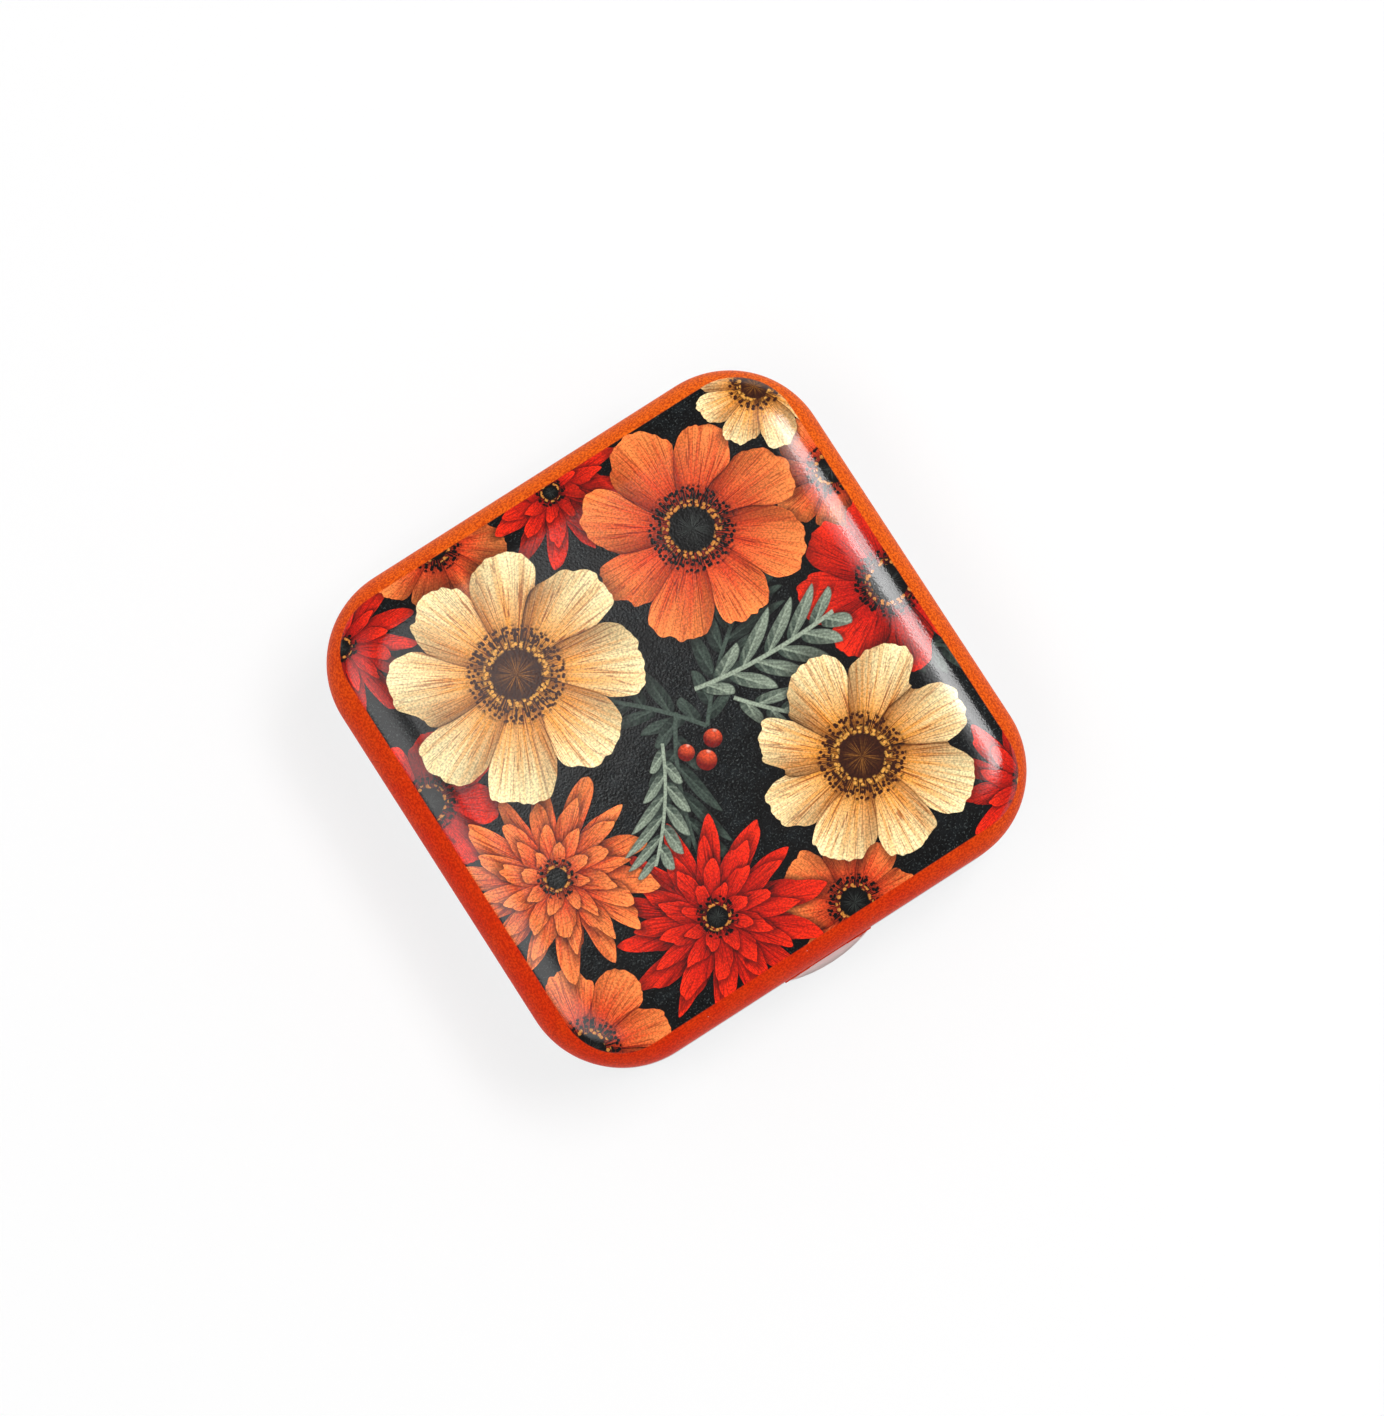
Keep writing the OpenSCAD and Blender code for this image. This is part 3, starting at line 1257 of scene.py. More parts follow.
PICTURE: tuple[Bloom | Leaves | Fruit, ...] = (
    Leaves(2, -3, 2.2, 17, **SHADED),
    Leaves(2, -3, 0.9, 16, -0.2, **SHADED),
    Leaves(0, 0, -2.2, 17, 0.25, **SHADED),
    Leaves(20, -2, -0.9, 14, 0.2, **SHADED),
    Bloom(-27, 6, 8, Shade.RED, 0.2, 8),
    Bloom(-26, 25, 9, Shade.RED, 0.4, 14, 2, **DAHLIA),
    Bloom(-12, 29, 8, Shade.CORAL, 0.2, 8),
    Bloom(1.5, 27, 8.5, Shade.RED, 0.1, 12, 3, **DAHLIA),
    Bloom(28, 13, 7.5, Shade.CORAL, 0.3, 8),
    Bloom(27.5, -26, 9, Shade.RED, 0.8, 12, 2, **DAHLIA),
    Bloom(5, -27, 8, Shade.CORAL, 0.5, 8),
    Bloom(-8, -20.5, 12, Shade.RED, 0.2, 14, 4, **DAHLIA),
    Bloom(-27, -25, 9.5, Shade.CORAL, 0.6, 8),
    Bloom(26.5, -0.5, 10, Shade.RED, 0.5, 8),
    Bloom(-20, -8, 11.5, Shade.CORAL, 0.3, 14, 4, **DAHLIA),
    Bloom(12, 15.5, 12.5, Shade.CORAL, 0.1, 8),
    Leaves(3, 1, -0.2, 17, 0.15),
    Leaves(-3, -2, -2.0, 13, -0.2),
    Leaves(6, -2, -0.9, 16, 0.2),
    Bloom(-12, 12.5, 14, Shade.CREAM, 0.35, 8),
    Bloom(14, -14.5, 12.5, Shade.CREAM, 0.0, 8),
    Bloom(26, 25, 7.5, Shade.CREAM, 0.7, 8),
    Fruit(0, -6),
    Fruit(1.8, -4.4, 1.0),
    Fruit(-1.4, -4.2, 0.9),
)


@dataclass(frozen=True)
class PrintedVarnish:
    """The lid's printed top: a picture panel in an orange border, under clear varnish.

    It is cut into square tiles with a material each, so that a renderer only works out the motifs that a tile
    shows.
    """

    border: OrangeVarnish = OrangeVarnish()
    left: float = -27.4
    right: float = 28.05
    low: float = -28.0
    high: float = 27.9
    corner: float = 6.6
    edge: float = 0.06
    gloss: float = 0.1
    dark: str = "#040405"
    lighter: str = "#1a1f22"
    speck: str = "#5c6462"
    cloud_scale: float = 0.5
    stipple_scale: float = 2.6
    tiles: int = 5
    overlap: float = 1.3

    @property
    def tile_size(self) -> Vector:
        """The width and the depth of one tile."""
        return Vector((self.right - self.left, self.high - self.low)) / self.tiles

    def tile_at(self, x: float, y: float) -> int:
        """Finds the tile at a place.

        Args:
            x: The place along X.
            y: The place along Y.

        Returns:
            The number of the tile, or of the one nearest to the place.
        """
        size, last = self.tile_size, self.tiles - 1
        column = min(max(int((x - self.left) / size.x), 0), last)
        row = min(max(int((y - self.low) / size.y), 0), last)
        return row * self.tiles + column

    def shows(self, tile: int, layer: Layer) -> bool:
        """Tells whether a layer reaches a tile, or the faces that lap over the tile's edges.

        Args:
            tile: The tile's number.
            layer: The layer.

        Returns:
            Whether it does.
        """
        size = self.tile_size
        row, column = divmod(tile, self.tiles)
        centre = Vector((self.left + (column + 0.5) * size.x, self.low + (row + 0.5) * size.y))
        gaps = [max(abs(layer.middle[i] - centre[i]) - size[i] / 2 - self.overlap, 0) for i in (0, 1)]
        return math.hypot(*gaps) < layer.reach

    def panel(self, x: Wire, y: Wire) -> Wire:
        """Tells the picture panel from the border round it.

        Args:
            x: The place along X.
            y: The place along Y.

        Returns:
            1 on the panel and 0 on the border.
        """
        across = (x - (self.left + self.right) / 2).size() - ((self.right - self.left) / 2 - self.corner)
        along = (y - (self.low + self.high) / 2).size() - ((self.high - self.low) / 2 - self.corner)
        out = (across.most(0.0) ** 2.0 + along.most(0.0) ** 2.0) ** 0.5
        return out.fade(self.corner + self.edge, self.corner - self.edge)

    def ground(self, sketch: Sketch, at: Socket) -> Socket:
        """Returns the dark ground behind the motifs, with its fine stipple and specks.

        Args:
            sketch: What adds nodes to the tree.
            at: The place, in millimetres.

        Returns:
            The ground's colour.
        """
        cloud = sketch.noise(at, self.cloud_scale, 2.0).fade(0.42, 0.75)
        stipple = sketch.cells(at, self.stipple_scale).fade(0.5, 0.15)
        ground = sketch.mix(cloud * 0.6 + stipple * 0.4, ink(self.dark), ink(self.lighter))
        specks = self.border.grit(sketch, at).fade(0.58, 0.68)
        return sketch.mix(specks * 0.6, ground, ink(self.speck))

    def material(self, tile: int, layers: list[Layer]) -> bpy.types.Material:
        """Builds one tile's material.

        Args:
            tile: The tile's number.
            layers: The whole picture's layers.

        Returns:
            The material.
        """
        sketch, shader, material = principled(
            f"printed varnish {tile + 1}",
            Roughness=self.border.roughness,
            IOR=1.5,
            Specular_IOR_Level=self.border.specular,
            Coat_Roughness=self.gloss,
            Coat_IOR=1.5,
        )
        at = place_mm(sketch)
        x, y, _ = sketch.split(at)
        flat = sketch.vector(x, y, 0.0)
        picture = self.ground(sketch, flat)
        for layer in layers:
            if self.shows(tile, layer):
                picture = layer.group.print_on(sketch, flat, picture, layer.values)
        tone = 1.2 - self.border.grain(sketch, flat) * 0.5
        picture = sketch.mix(1.0, picture, sketch.vector(tone, tone, tone), "MULTIPLY")
        panel = self.panel(x, y)
        colour = sketch.mix(panel, self.border.colour(sketch, at), picture)
        feed(sketch.tree, colour, shader.inputs["Base Color"])
        feed(sketch.tree, panel, shader.inputs["Coat Weight"])
        self.border.relief(sketch, shader, at)
        return material

    def materials(self) -> list[bpy.types.Material]:
        """Builds the materials of all the tiles.

        Returns:
            The materials, in the tiles' order.
        """
        press = Press()
        layers = [layer for seed, motif in enumerate(PICTURE, start=1) for layer in motif.layers(press, seed)]
        shown = [sum(self.shows(tile, layer) for layer in layers) for tile in range(self.tiles**2)]
        log.info("picture: %d layers, %s on the tiles", len(layers), shown)
        return [self.material(tile, layers) for tile in range(self.tiles**2)]


# ---------- The tin ----------


@dataclass
class Tin:
    """The sizes that the pressings share. Those that the frame holds are read from it."""

    sheet: float = 0.3 * MM
    corner_r: float = 10.8 * MM
    knuckle_w: float = 4.0 * MM
    knuckle_gap: float = 0.25 * MM
    lip_w: float = 10.9 * MM
    lip_shares: tuple[float, ...] = (0.35, 0.6, 0.8, 0.92, 1.0)
    half: float = field(init=False)
    height: float = field(init=False)
    rim_top: float = field(init=False)
    lip_out: float = field(init=False)
    hinge: Vector = field(init=False)
    hinge_x: float = field(init=False)
    wire_r: float = field(init=False)
    hem_r: float = field(init=False)
    outline: Outline = field(init=False)
    sweep: SheetSweep = field(init=False)

    def __post_init__(self) -> None:
        """Reads the frame."""
        low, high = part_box("lid")
        wire_low, wire_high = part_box("right_hinge_pin")
        self.half, self.height = high.x, high.z
        self.lip_out = -low.y - self.half
        self.rim_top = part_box("base")[1].z
        self.hinge = Vector(frame["joints"][0]["pos_m"])
        self.hinge_x = (wire_low.x + wire_high.x) / 2
        self.wire_r = (wire_high.z - wire_low.z) / 2
        self.hem_r = self.half - self.hinge.y
        self.outline = Outline(self.corner_at, self.marks())
        self.sweep = SheetSweep()

    @property
    def corner_at(self) -> float:
        """Where the corner radius's centre is, along X and Y."""
        return self.half - self.corner_r

    @property
    def middle(self) -> float:
        """Half the sheet, from a face to the middle."""
        return self.sheet / 2

    def pan(self, section: Section, material: bpy.types.Material) -> list[bpy.types.Mesh]:
        """Carries a section round the outline, and closes the square inside its first point.

        Args:
            section: The section.
            material: The sheet's material.

        Returns:
            The two sheets.
        """
        stops = self.outline.stops()
        across = Section([(stop, section.points[0][1]) for stop in stops])
        along = [(Vector((stop, 0, 0)), Vector((0, 1, 0))) for stop in stops]
        return [
            self.sweep.sheet(section, self.outline.round(), material),
            self.sweep.sheet(across, along, material),
        ]

    def marks(self) -> tuple[float, ...]:
        """Finds where a cut or a fold ends along a wall.

        Returns:
            The places, out from the wall's middle.
        """
        hinge = self.hinge_x
        windows = (hinge - self.knuckle_w / 2, hinge + self.knuckle_w / 2)
        notches = (windows[0] - self.knuckle_gap, windows[1] + self.knuckle_gap)
        lip = tuple(self.lip_w / 2 * share for share in self.lip_shares)
        return windows + notches + lip


def welded(name: str, meshes: list[bpy.types.Mesh]) -> bpy.types.Mesh:
    """Joins meshes into one and welds them where their points meet.

    Args:
        name: The new mesh's name.
        meshes: The meshes, which are removed.

    Returns:
        The new mesh.
    """
    shell = bmesh.new()
    for mesh in meshes:
        shell.from_mesh(mesh)
        bpy.data.meshes.remove(mesh)
    bmesh.ops.remove_doubles(shell, verts=shell.verts, dist=WELD)
    made = bpy.data.meshes.new(name)
    shell.to_mesh(made)
    shell.free()
    return made


def cut(mesh: bpy.types.Mesh, low: Vector, high: Vector) -> None:
    """Removes the faces whose middle lies in a box.

    Args:
        mesh: The mesh.
        low: The box's lowest corner.
        high: Its highest corner.
    """
    shell = bmesh.new()
    shell.from_mesh(mesh)
    middles = ((face, face.calc_center_median()) for face in shell.faces)
    inside = [face for face, at in middles if all(low[i] < at[i] < high[i] for i in range(3))]
    bmesh.ops.delete(shell, geom=inside, context="FACES")
    shell.to_mesh(mesh)
    shell.free()


def thickened(
    name: str, mesh: bpy.types.Mesh, sheet: float, finishes: list[bpy.types.Material]
) -> bpy.types.Object:
    """Gives a sheet its finishes and its thickness, half to each side.

    Args:
        name: The piece's name.
        mesh: The sheet, with no thickness.
        sheet: Its thickness.
        finishes: Its materials. The last one covers the inner side and the cut edges.

    Returns:
        The piece.
    """
    for finish in finishes:
        mesh.materials.append(finish)
    thin = linked(bpy.data.objects.new("thin", mesh))
    solid = thin.modifiers.new("sheet", "SOLIDIFY")
    solid.thickness = sheet
    solid.offset = 0.0
    solid.use_even_offset = True
    solid.material_offset = len(finishes)
    solid.material_offset_rim = len(finishes)
    made = evaluated(thin)
    bpy.data.objects.remove(thin)
    made.name = name
    return linked(bpy.data.objects.new(name, made))


@dataclass(frozen=True)
class LidMap:
    """The lid's own map. Most of it is for the printed top, so that a kept image of the print stays sharp.

    The orange faces have a column beside the top, and the bare ones a strip above both.
    """

    tin: Tin
    shoulder_r: float
    name: str = "OFBake"
    share: float = 0.72
    gap: float = 0.01
    margin: float = 0.004
    fold: float = math.radians(66)

    def unrolled(self, at: Vector) -> Vector:
        """Lays a place on the top flat, as seen from above, with the shoulder rolled out round it.

        Args:
            at: The place.

        Returns:
            The flat place.
        """
        limit = self.tin.corner_at
        core = Vector([max(-limit, min(c, limit)) for c in at.xy])
        away = at.xy - core
        drop = max(self.tin.height - at.z, 0.0)
        return core + away * (1 + drop / away.length) if away.length > WELD else core

    def lay(self, lid: bpy.types.Object, printed: int) -> None:
        """Gives the lid its map.

        Args:
            lid: The lid.
            printed: How many of its finishes are printed. The orange varnish comes next, then the bare ones.
        """
        mesh = lid.data
        mesh.uv_layers.new(name=self.name)
        beside = self.share + self.gap
        rest = 1 - beside
        bpy.ops.object.select_all(action="DESELECT")
        bpy.context.view_layer.objects.active = lid
        bpy.context.tool_settings.mesh_select_mode = (False, False, True)
        self._unfold(mesh, {printed}, Vector((beside, 0)), Vector((rest, self.share)))
        self._unfold(mesh, {printed + 1, printed + 2}, Vector((0, beside)), Vector((1, rest)))
        places = mesh.uv_layers[self.name].uv
        reach = self.tin.corner_at + self.tin.corner_r + self.shoulder_r
        for face in mesh.polygons:
            for corner in face.loop_indices if face.material_index < printed else ():
                flat = self.unrolled(mesh.vertices[mesh.loops[corner].vertex_index].co)
                places[corner].vector = (flat / reach + Vector((1, 1))) * self.share / 2

    def _unfold(self, mesh: bpy.types.Mesh, finishes: set[int], low: Vector, size: Vector) -> None:
        """Unfolds the faces of some finishes into one room of the map.

        Args:
            mesh: The lid's mesh.
            finishes: The finishes' places.
            low: The room's lowest corner.
            size: Its width and its depth.
        """
        for face in mesh.polygons:
            face.select = face.material_index in finishes
        bpy.ops.object.mode_set(mode="EDIT")
        bpy.ops.uv.smart_project(angle_limit=self.fold, island_margin=self.margin, scale_to_bounds=True)
        bpy.ops.object.mode_set(mode="OBJECT")
        places = mesh.uv_layers[self.name].uv
        for face in mesh.polygons:
            for corner in face.loop_indices if face.select else ():
                places[corner].vector = low + places[corner].vector * size


@dataclass
class Lid:
    """The drawn lid, with its rolled shoulder, curled hem, hinge notches and thumb lip."""

    tin: Tin
    orange: bpy.types.Material
    # The lip's tinplate, painted pinkish white as a painted reflection of the orange skirt and the white
    # table.
    painted_reflection: bpy.types.Material
    bare: bpy.types.Material
    varnish: PrintedVarnish = PrintedVarnish()
    shoulder_r: float = 4.0 * MM
    crown_r: float = 14.0 * MM
    crown_lean: float = math.degrees(math.atan2(24, 7))
    hem_end: float = 70.0
    lip_fold_r: float = 0.3 * MM
    lip_least: float = 0.05
    pillow: float = 0.2 * MM

    @property
    def skirt_x(self) -> float:
        """The skirt's middle, out from the corner radius's centre."""
        return self.tin.corner_r - self.tin.middle

    @property
    def shoulder_z(self) -> float:
        """The height of the shoulder radius's centre, where the tin is widest as seen from above."""
        rise = (self.crown_r - self.shoulder_r) * math.sin(math.radians(self.crown_lean))
        return self.tin.height - self.crown_r + rise

    def shell_section(self) -> Section:
        """Draws the section from the flat panel to the skirt's lower edge.

        Returns:
            The section.
        """
        tin = self.tin
        shoulder_x = tin.corner_r - self.shoulder_r
        crown_x = shoulder_x - (self.crown_r - self.shoulder_r) * math.cos(math.radians(self.crown_lean))
        crown_z = tin.height - self.crown_r
        panel_z = tin.height - tin.middle
        shoulder_r = self.shoulder_r - tin.middle
        section = Section().to(0.0, panel_z).to(crown_x / 2, panel_z)
        section.arc(crown_x, crown_z, self.crown_r - tin.middle, 90.0, self.crown_lean, steps=12)
        section.arc(shoulder_x, self.shoulder_z, shoulder_r, self.crown_lean, 0.0, steps=18)
        return section.to(self.skirt_x, self.notch_z).to(self.skirt_x, tin.hinge.z)

    @property
    def notch_z(self) -> float:
        """The upper edge of the hinge notches."""
        return self.tin.hinge.z + self.tin.wire_r + self.tin.sheet + self.tin.knuckle_gap

    def hem_section(self) -> Section:
        """Draws the hem, curled inward from the skirt's lower edge.

        Returns:
            The hem's section.
        """
        tin = self.tin
        x, radius = tin.corner_r - tin.hem_r, tin.hem_r - tin.middle
        return Section().arc(x, tin.hinge.z, radius, 360.0, self.hem_end, steps=26)

    def lip_section(self) -> Section:
        """Draws the thumb lip, folded outward from the skirt's lower edge.

        Returns:
            The lip's section.
        """
        tin = self.tin
        low = tin.hinge.z - tin.hem_r
        fold_x, fold_z = tin.corner_r + self.lip_fold_r, low + tin.sheet + self.lip_fold_r
        section = Section().to(self.skirt_x, tin.hinge.z)
        section.arc(fold_x, fold_z, self.lip_fold_r + tin.middle, 180.0, 270.0, steps=8)
        return section.to(tin.corner_r + tin.lip_out, low + tin.middle)

    def hem_spans(self) -> list[list[Station]]:
        """Places the hem's stretches, between the notches and the thumb lip.

        Returns:
            The stations of each stretch.
        """
        tin, line = self.tin, self.tin.outline
        end = tin.corner_at
        inner = tin.hinge_x - tin.knuckle_w / 2 - tin.knuckle_gap
        outer = tin.hinge_x + tin.knuckle_w / 2 + tin.knuckle_gap
        lip = tin.lip_w / 2
        right = line.wall(0, outer, end) + line.corner(0) + line.wall(1, -end, end)
        left = line.corner(2) + line.wall(3, -end, end) + line.corner(3)
        return [
            line.wall(0, -inner, inner),
            right + line.corner(1) + line.wall(2, -end, -lip),
            line.wall(2, lip, end) + left + line.wall(0, -end, -outer),
        ]

    def thin_sheet(self) -> bpy.types.Mesh:
        """Makes the whole pressing with no thickness.

        Returns:
            The pressing.
        """
        tin = self.tin
        meshes = tin.pan(self.shell_section(), self.orange)
        meshes += [tin.sweep.sheet(self.hem_section(), span, self.orange) for span in self.hem_spans()]
        front = tin.outline.wall(2, -tin.lip_w / 2, tin.lip_w / 2)
        lip = tin.sweep.sheet(self.lip_section(), front, self.bare)
        self.trim_lip(lip)
        whole = welded("lid", meshes + [lip])
        notch_out = Vector((tin.knuckle_w / 2 + tin.knuckle_gap, tin.sheet, 0))
        for x in (-tin.hinge_x, tin.hinge_x):
            low = Vector((x, tin.half, tin.hinge.z - tin.hem_r)) - notch_out
            high = Vector((x, tin.half, self.notch_z)) + notch_out
            cut(whole, low, high)
        return whole

    def trim_lip(self, lip: bpy.types.Mesh) -> None:
        """Trims the lip to its round rim, seen from above.

        Args:
            lip: The lip's mesh.
        """
        tin = self.tin
        rim_r = ((tin.lip_w / 2) ** 2 + tin.lip_out**2) / (2 * tin.lip_out)
        for vertex in lip.vertices:
            proud = -vertex.co.y - tin.half
            if proud > 0:
                rim = math.sqrt(rim_r**2 - vertex.co.x**2) - rim_r + tin.lip_out
                share = max(rim / tin.lip_out, self.lip_least)
                vertex.co.y = -tin.half - proud * share

    def build(self) -> bpy.types.Object:
        """Makes the lid, with a coat on each stretch.

        Returns:
            The lid.
        """
        tin = self.tin
        thin = self.thin_sheet()
        reach = tin.half - self.shoulder_r
        for vertex in thin.vertices:
            x, y = (min(abs(c) / reach, 1.0) for c in vertex.co.xy)
            if vertex.co.z > tin.height - self.shoulder_r:
                vertex.co.z += self.pillow * (1 - x * x) * (1 - y * y)
        prints = self.varnish.materials()
        for face in thin.polygons:
            face.material_index = self.coat(face.center, len(prints))
        lid = thickened("printed_lid", thin, tin.sheet, [*prints, self.orange, self.painted_reflection, self.bare])
        LidMap(tin, self.shoulder_r).lay(lid, len(prints))
        return lid

    def coat(self, centre: Vector, printed: int) -> int:
        """Returns the place, among the piece's finishes, of the one that covers a face's outer side.

        Args:
            centre: The face's middle.
            printed: How many of the finishes are printed. The orange varnish comes next, and then the lip's
            tinplate, painted pinkish white as a painted reflection of the orange skirt and the white table.

        Returns:
            The finish's place.
        """
        tin = self.tin
        if centre.z > tin.height - self.shoulder_r:
            return self.varnish.tile_at(centre.x / MM, centre.y / MM)
        inside = max(abs(centre.x), abs(centre.y)) < tin.half + tin.sheet / 4
        return printed if inside and centre.z > tin.hinge.z - tin.hem_r else printed + 1


@dataclass
class Base:
    """The drawn tray, with its recessed bottom, ledge, inset neck, curled rim and hinge knuckles."""

    tin: Tin
    finish: bpy.types.Material
    foot_r: float = 2.5 * MM
    ring_w: float = 1.2 * MM
    step_r: float = 0.75 * MM
    step_lean: float = math.degrees(math.atan2(3, 4))
    ledge_z: float = 9.2 * MM
    ledge_r: float = 0.8 * MM
    hem_gap: float = 0.35 * MM
    neck_fold_r: float = 0.2 * MM
    rim_r: float = 0.6 * MM
    rim_end: float = 280.0
    window_h: float = 3.7 * MM
    knuckle_end: float = 170.0

    @property
    def neck_x(self) -> float:
        """The neck's outer face, out from the corner radius's centre."""
        return self.tin.corner_r - 2 * self.tin.hem_r - self.hem_gap

    @property
    def knuckle_r(self) -> float:
        """The radius of a knuckle, in the middle of its sheet."""
        return self.tin.wire_r + self.tin.middle

    @property
    def window_z(self) -> float:
        """The lower edge of the windows that the knuckles' tongues are cut from."""
        return self.tin.hinge.z - self.knuckle_r + self.tin.middle

    def shell_section(self) -> Section:
        """Draws the section from the bottom panel to the end of the curled rim.

        Returns:
            The section.
        """
        tin, middle = self.tin, self.tin.middle
        lean = math.radians(self.step_lean)
        ring_x = tin.corner_r - self.foot_r - self.ring_w
        ring_z = middle + self.step_r
        panel_x = ring_x - 2 * self.step_r * math.cos(lean)
        panel_z = ring_z - 2 * self.step_r * math.sin(lean)
        foot_x = tin.corner_r - self.foot_r
        wall_x = tin.corner_r - middle
        ledge_x, ledge_z = tin.corner_r - self.ledge_r, self.ledge_z - self.ledge_r
        fold_x, fold_z = self.neck_x + self.neck_fold_r, self.ledge_z + self.neck_fold_r
        neck_x = self.neck_x - middle
        section = Section().to(0.0, panel_z + self.step_r).to(panel_x / 2, panel_z + self.step_r)
        section.arc(panel_x, panel_z, self.step_r, 90.0, self.step_lean, steps=6)
        section.arc(ring_x, ring_z, self.step_r, 180.0 + self.step_lean, 270.0, steps=6)
        section.arc(foot_x, self.foot_r, self.foot_r - middle, 270.0, 360.0, steps=12)
        section.to(wall_x, (self.foot_r + ledge_z) / 2)
        section.arc(ledge_x, ledge_z, self.ledge_r - middle, 0.0, 90.0, steps=8)
        section.arc(fold_x, fold_z, self.neck_fold_r + middle, 270.0, 180.0, steps=6)
        section.to(neck_x, self.window_z).to(neck_x, self.window_z + self.window_h)
        rim_x, rim_z = self.neck_x - self.rim_r, tin.rim_top - self.rim_r
        return section.arc(rim_x, rim_z, self.rim_r - middle, 0.0, self.rim_end, steps=22)

    def knuckle_section(self) -> Section:
        """Draws one knuckle: the tongue from the neck, curled round the wire.

        Returns:
            The knuckle's section.
        """
        tin = self.tin
        axle_x = tin.hinge.y - tin.corner_at
        section = Section().to(self.neck_x - tin.middle, tin.hinge.z - self.knuckle_r)
        return section.arc(axle_x, tin.hinge.z, self.knuckle_r, -90.0, self.knuckle_end, steps=22)

    def build(self) -> bpy.types.Object:
        """Makes the tray with its two knuckles.

        Returns:
            The tray.
        """
        tin = self.tin
        shell = welded("base", tin.pan(self.shell_section(), self.finish))
        neck_y = tin.corner_at + self.neck_x
        half_w = tin.knuckle_w / 2
        sheets = [shell]
        for x in (-tin.hinge_x, tin.hinge_x):
            low = Vector((x - half_w, neck_y - tin.sheet, self.window_z))
            high = Vector((x + half_w, neck_y + tin.sheet, self.window_z + self.window_h))
            cut(shell, low, high)
            span = tin.outline.wall(0, x - half_w, x + half_w)
            sheets.append(tin.sweep.sheet(self.knuckle_section(), span, self.finish))
        return thickened("tin_base", welded("base", sheets), tin.sheet, [self.finish])


@dataclass
class HingePins:
    """The two wires of the hinge, which are the frame's own nodes."""

    finish: bpy.types.Material
    names: tuple[str, str] = ("left_hinge_pin", "right_hinge_pin")

    def dress(self) -> None:
        """Gives the wires their finish."""
        for name in self.names:
            mesh = frame["nodes"][name].data
            mesh.materials.clear()
            mesh.materials.append(self.finish)


# ---------- The studio ----------


@dataclass(frozen=True)
class Card:
    """A white card over the tin, soft at its edges.

    Its places are sines of the angle from straight overhead.
    """

    toward: float
    start: float
    full: float
    last: float
    end: float
    half_width: float
    soft: float
    strength: float

    def light(self, x: Wire, y: Wire) -> Wire:
        """Returns the card's light in a direction.

        Args:
            x: The direction's part along X.
            y: Its part along Y.

        Returns:
            The light.
        """
        turn = math.radians(self.toward)
        out = x * math.cos(turn) + y * math.sin(turn)
        side = (y * math.cos(turn) - x * math.sin(turn)).size()
        length = out.fade(self.start, self.full) * out.fade(self.end, self.last)
        return length * side.fade(self.half_width + self.soft, self.half_width) * self.strength


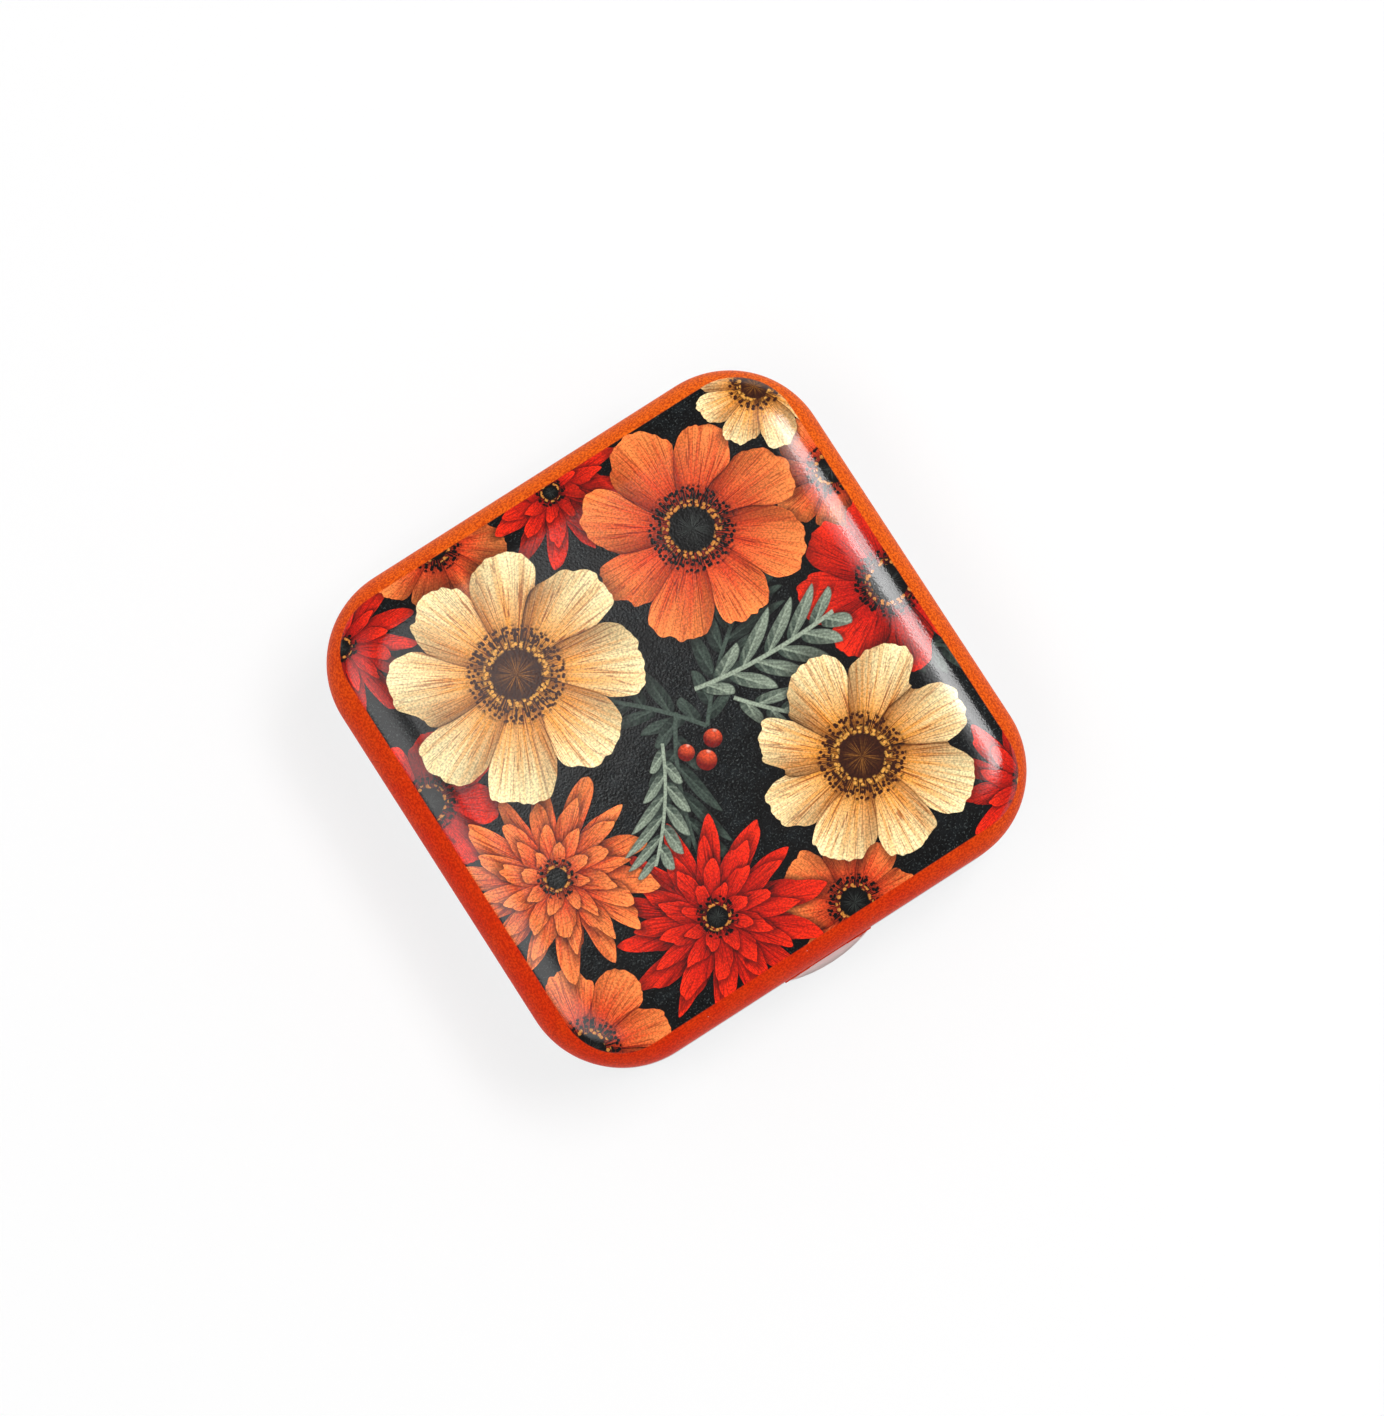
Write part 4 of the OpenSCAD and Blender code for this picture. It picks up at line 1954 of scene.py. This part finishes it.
@dataclass
class Studio:
    """The table, the lights and the camera."""

    photo: tuple[int, int] = (1384, 1416)
    tin_at: tuple[float, float] = (676.1, 716.4)
    pixel: float = 0.1067 * MM
    turn: float = math.radians(-32.75)
    tilt: float = math.radians(5.5)
    sensor: float = 36.0
    lens: float = 100.0
    softbox_size: tuple[float, float] = (0.2, 0.5)
    softbox_lean: float = math.radians(32.5)
    softbox_energy: float = 2.8
    fill_strength: float = 1.05
    fill_lean: float = math.radians(20)
    fill_spread: float = math.radians(150)
    cards: tuple[Card, ...] = (
        Card(108, 0.05, 0.12, 0.18, 0.26, 0.04, 0.11, 2.0),
        Card(180, 0.15, 0.42, 0.55, 0.68, 0.3, 0.25, 2.3),
        Card(0, 0.2, 0.46, 0.5, 0.56, 0.2, 0.15, 3.4),
    )
    dim: float = 0.15
    horizon: tuple[float, float] = (0.3, 0.1)
    table_size: float = 12.0
    table_tone: float = 0.95
    table_lift: float = 0.64
    table_fade: tuple[float, float] = (0.3, 1.5)

    def axes(self) -> tuple[Vector, Vector]:
        """Returns the photo's right and up, laid flat in the frame."""
        right = Vector((math.cos(self.turn), math.sin(self.turn), 0))
        return right, Vector((-right.y, right.x, 0))

    def camera(self, level: float) -> None:
        """Sets the camera over the tin.

        Args:
            level: The height at which the tin's outline is widest, where the photo's pixel has its size.
        """
        right, up = self.axes()
        shift_x = self.photo[0] / 2 - self.tin_at[0]
        shift_y = self.tin_at[1] - self.photo[1] / 2
        aim = Vector((0, 0, level)) + (right * shift_x + up * shift_y) * self.pixel
        distance = self.photo[1] * self.pixel * self.lens / self.sensor
        back = -up * math.sin(self.tilt) + Vector((0, 0, math.cos(self.tilt)))
        data = bpy.data.cameras.new("camera")
        data.lens = self.lens
        data.sensor_width = self.sensor
        data.clip_start = 0.01
        camera = linked(bpy.data.objects.new("camera", data))
        camera.location = aim + back * distance
        camera.rotation_euler = look(right, back).to_euler()
        bpy.context.scene.camera = camera

    def softbox(self) -> None:
        """Hangs the softbox beside the tin."""
        lamp = bpy.data.lights.new("softbox", "AREA")
        lamp.shape = "RECTANGLE"
        lamp.size, lamp.size_y = self.softbox_size
        lamp.energy = self.softbox_energy
        softbox = linked(bpy.data.objects.new("softbox", lamp))
        softbox.location = (math.sin(self.softbox_lean), 0.0, math.cos(self.softbox_lean))
        softbox.rotation_euler = (0.0, self.softbox_lean, 0.0)

    def fill(self) -> None:
        """Adds soft light from overhead, leant to the photo's upper side.

        It is too even to be seen in the varnish.
        """
        lamp = bpy.data.lights.new("fill", "SUN")
        lamp.energy = self.fill_strength
        lamp.angle = self.fill_spread
        fill = linked(bpy.data.objects.new("fill", lamp))
        right, up = self.axes()
        source = up * math.sin(self.fill_lean) + Vector((0, 0, math.cos(self.fill_lean)))
        fill.rotation_euler = look(right, source).to_euler()
        fill.visible_glossy = False

    def room(self) -> None:
        """Surrounds the tin with a white horizon, a dim ceiling and the cards that hang from it."""
        world = bpy.data.worlds.new("room")
        bpy.context.scene.world = world
        world.use_nodes = True
        sketch = Sketch(world.node_tree)
        x, y, z = sketch.split(sketch.node("ShaderNodeTexCoord").outputs["Generated"])
        ceiling = sum((card.light(x, y) for card in self.cards), start=z * 0.0 + self.dim)
        white = z.fade(*self.horizon)
        background = world.node_tree.nodes["Background"].inputs
        feed(world.node_tree, (1.0, 1.0, 1.0), background["Color"])
        feed(world.node_tree, white + (1.0 - white) * ceiling, background["Strength"])

    def table(self) -> None:
        """Lays the white table.

        It looks a little brighter than it is lit, and plain white far from the tin.
        """
        bpy.ops.mesh.primitive_plane_add(size=self.table_size)
        table = bpy.context.object
        table.name = "table"
        tone = (self.table_tone,) * 3
        sketch, shader, material = principled("white table", Base_Color=tone, Roughness=0.7)
        rays = sketch.node("ShaderNodeLightPath").outputs
        camera, glossy, clear = (
            sketch.wire(rays[f"Is {kind} Ray"]) for kind in ("Camera", "Glossy", "Transmission")
        )
        at = sketch.node("ShaderNodeTexCoord").outputs["Object"]
        far = sketch.length(at).fade(*self.table_fade)
        lift = far * (1 - self.table_lift) + self.table_lift
        glow = sketch.node("ShaderNodeEmission")
        blend = sketch.node("ShaderNodeMixShader")
        share = camera.most(glossy).most(clear) * lift
        for value, socket in zip((share, shader.outputs[0], glow.outputs[0]), blend.inputs):
            feed(sketch.tree, value, socket)
        surface = material.node_tree.nodes["Material Output"].inputs["Surface"]
        feed(sketch.tree, blend.outputs[0], surface)
        table.data.materials.append(material)


def look(right: Vector, back: Vector) -> Matrix:
    """Turns a thing that looks down its own Z.

    Args:
        right: Where its X goes.
        back: Where its Z goes, towards the viewer or the light.

    Returns:
        The rotation.
    """
    up = back.cross(right)
    return Matrix((right, up, back)).transposed()


def main() -> None:
    """Builds the tin and its studio."""
    logging.basicConfig(level=logging.INFO, format="%(message)s")
    bpy.context.scene.view_settings.view_transform = "Standard"
    tin = Tin()
    bare = BareTinplate().material()
    # The lip's tinplate is painted pinkish white and brighter than bare tinplate. This is a painted
    # reflection of the orange skirt and the white table.
    painted_reflection = BareTinplate("rubbed tinplate", "#fff4f2", "#f8e6e4", roughness=0.56).material()
    lid = Lid(tin, OrangeVarnish().material(), painted_reflection, bare)
    base = Base(tin, bare)
    pieces = ((lid.build(), "lid", "printed_tinplate"), (base.build(), "base", "bare_tinplate"))
    for piece, body, slot in pieces:
        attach(piece, body)
        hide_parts(body)
        log.info("%s: %d faces", piece.name, len(piece.data.polygons))
    HingePins(DrawnWire().material()).dress()
    studio = Studio()
    studio.camera(lid.shoulder_z)
    studio.softbox()
    studio.fill()
    studio.room()
    studio.table()


if __name__ == "__main__":
    main()
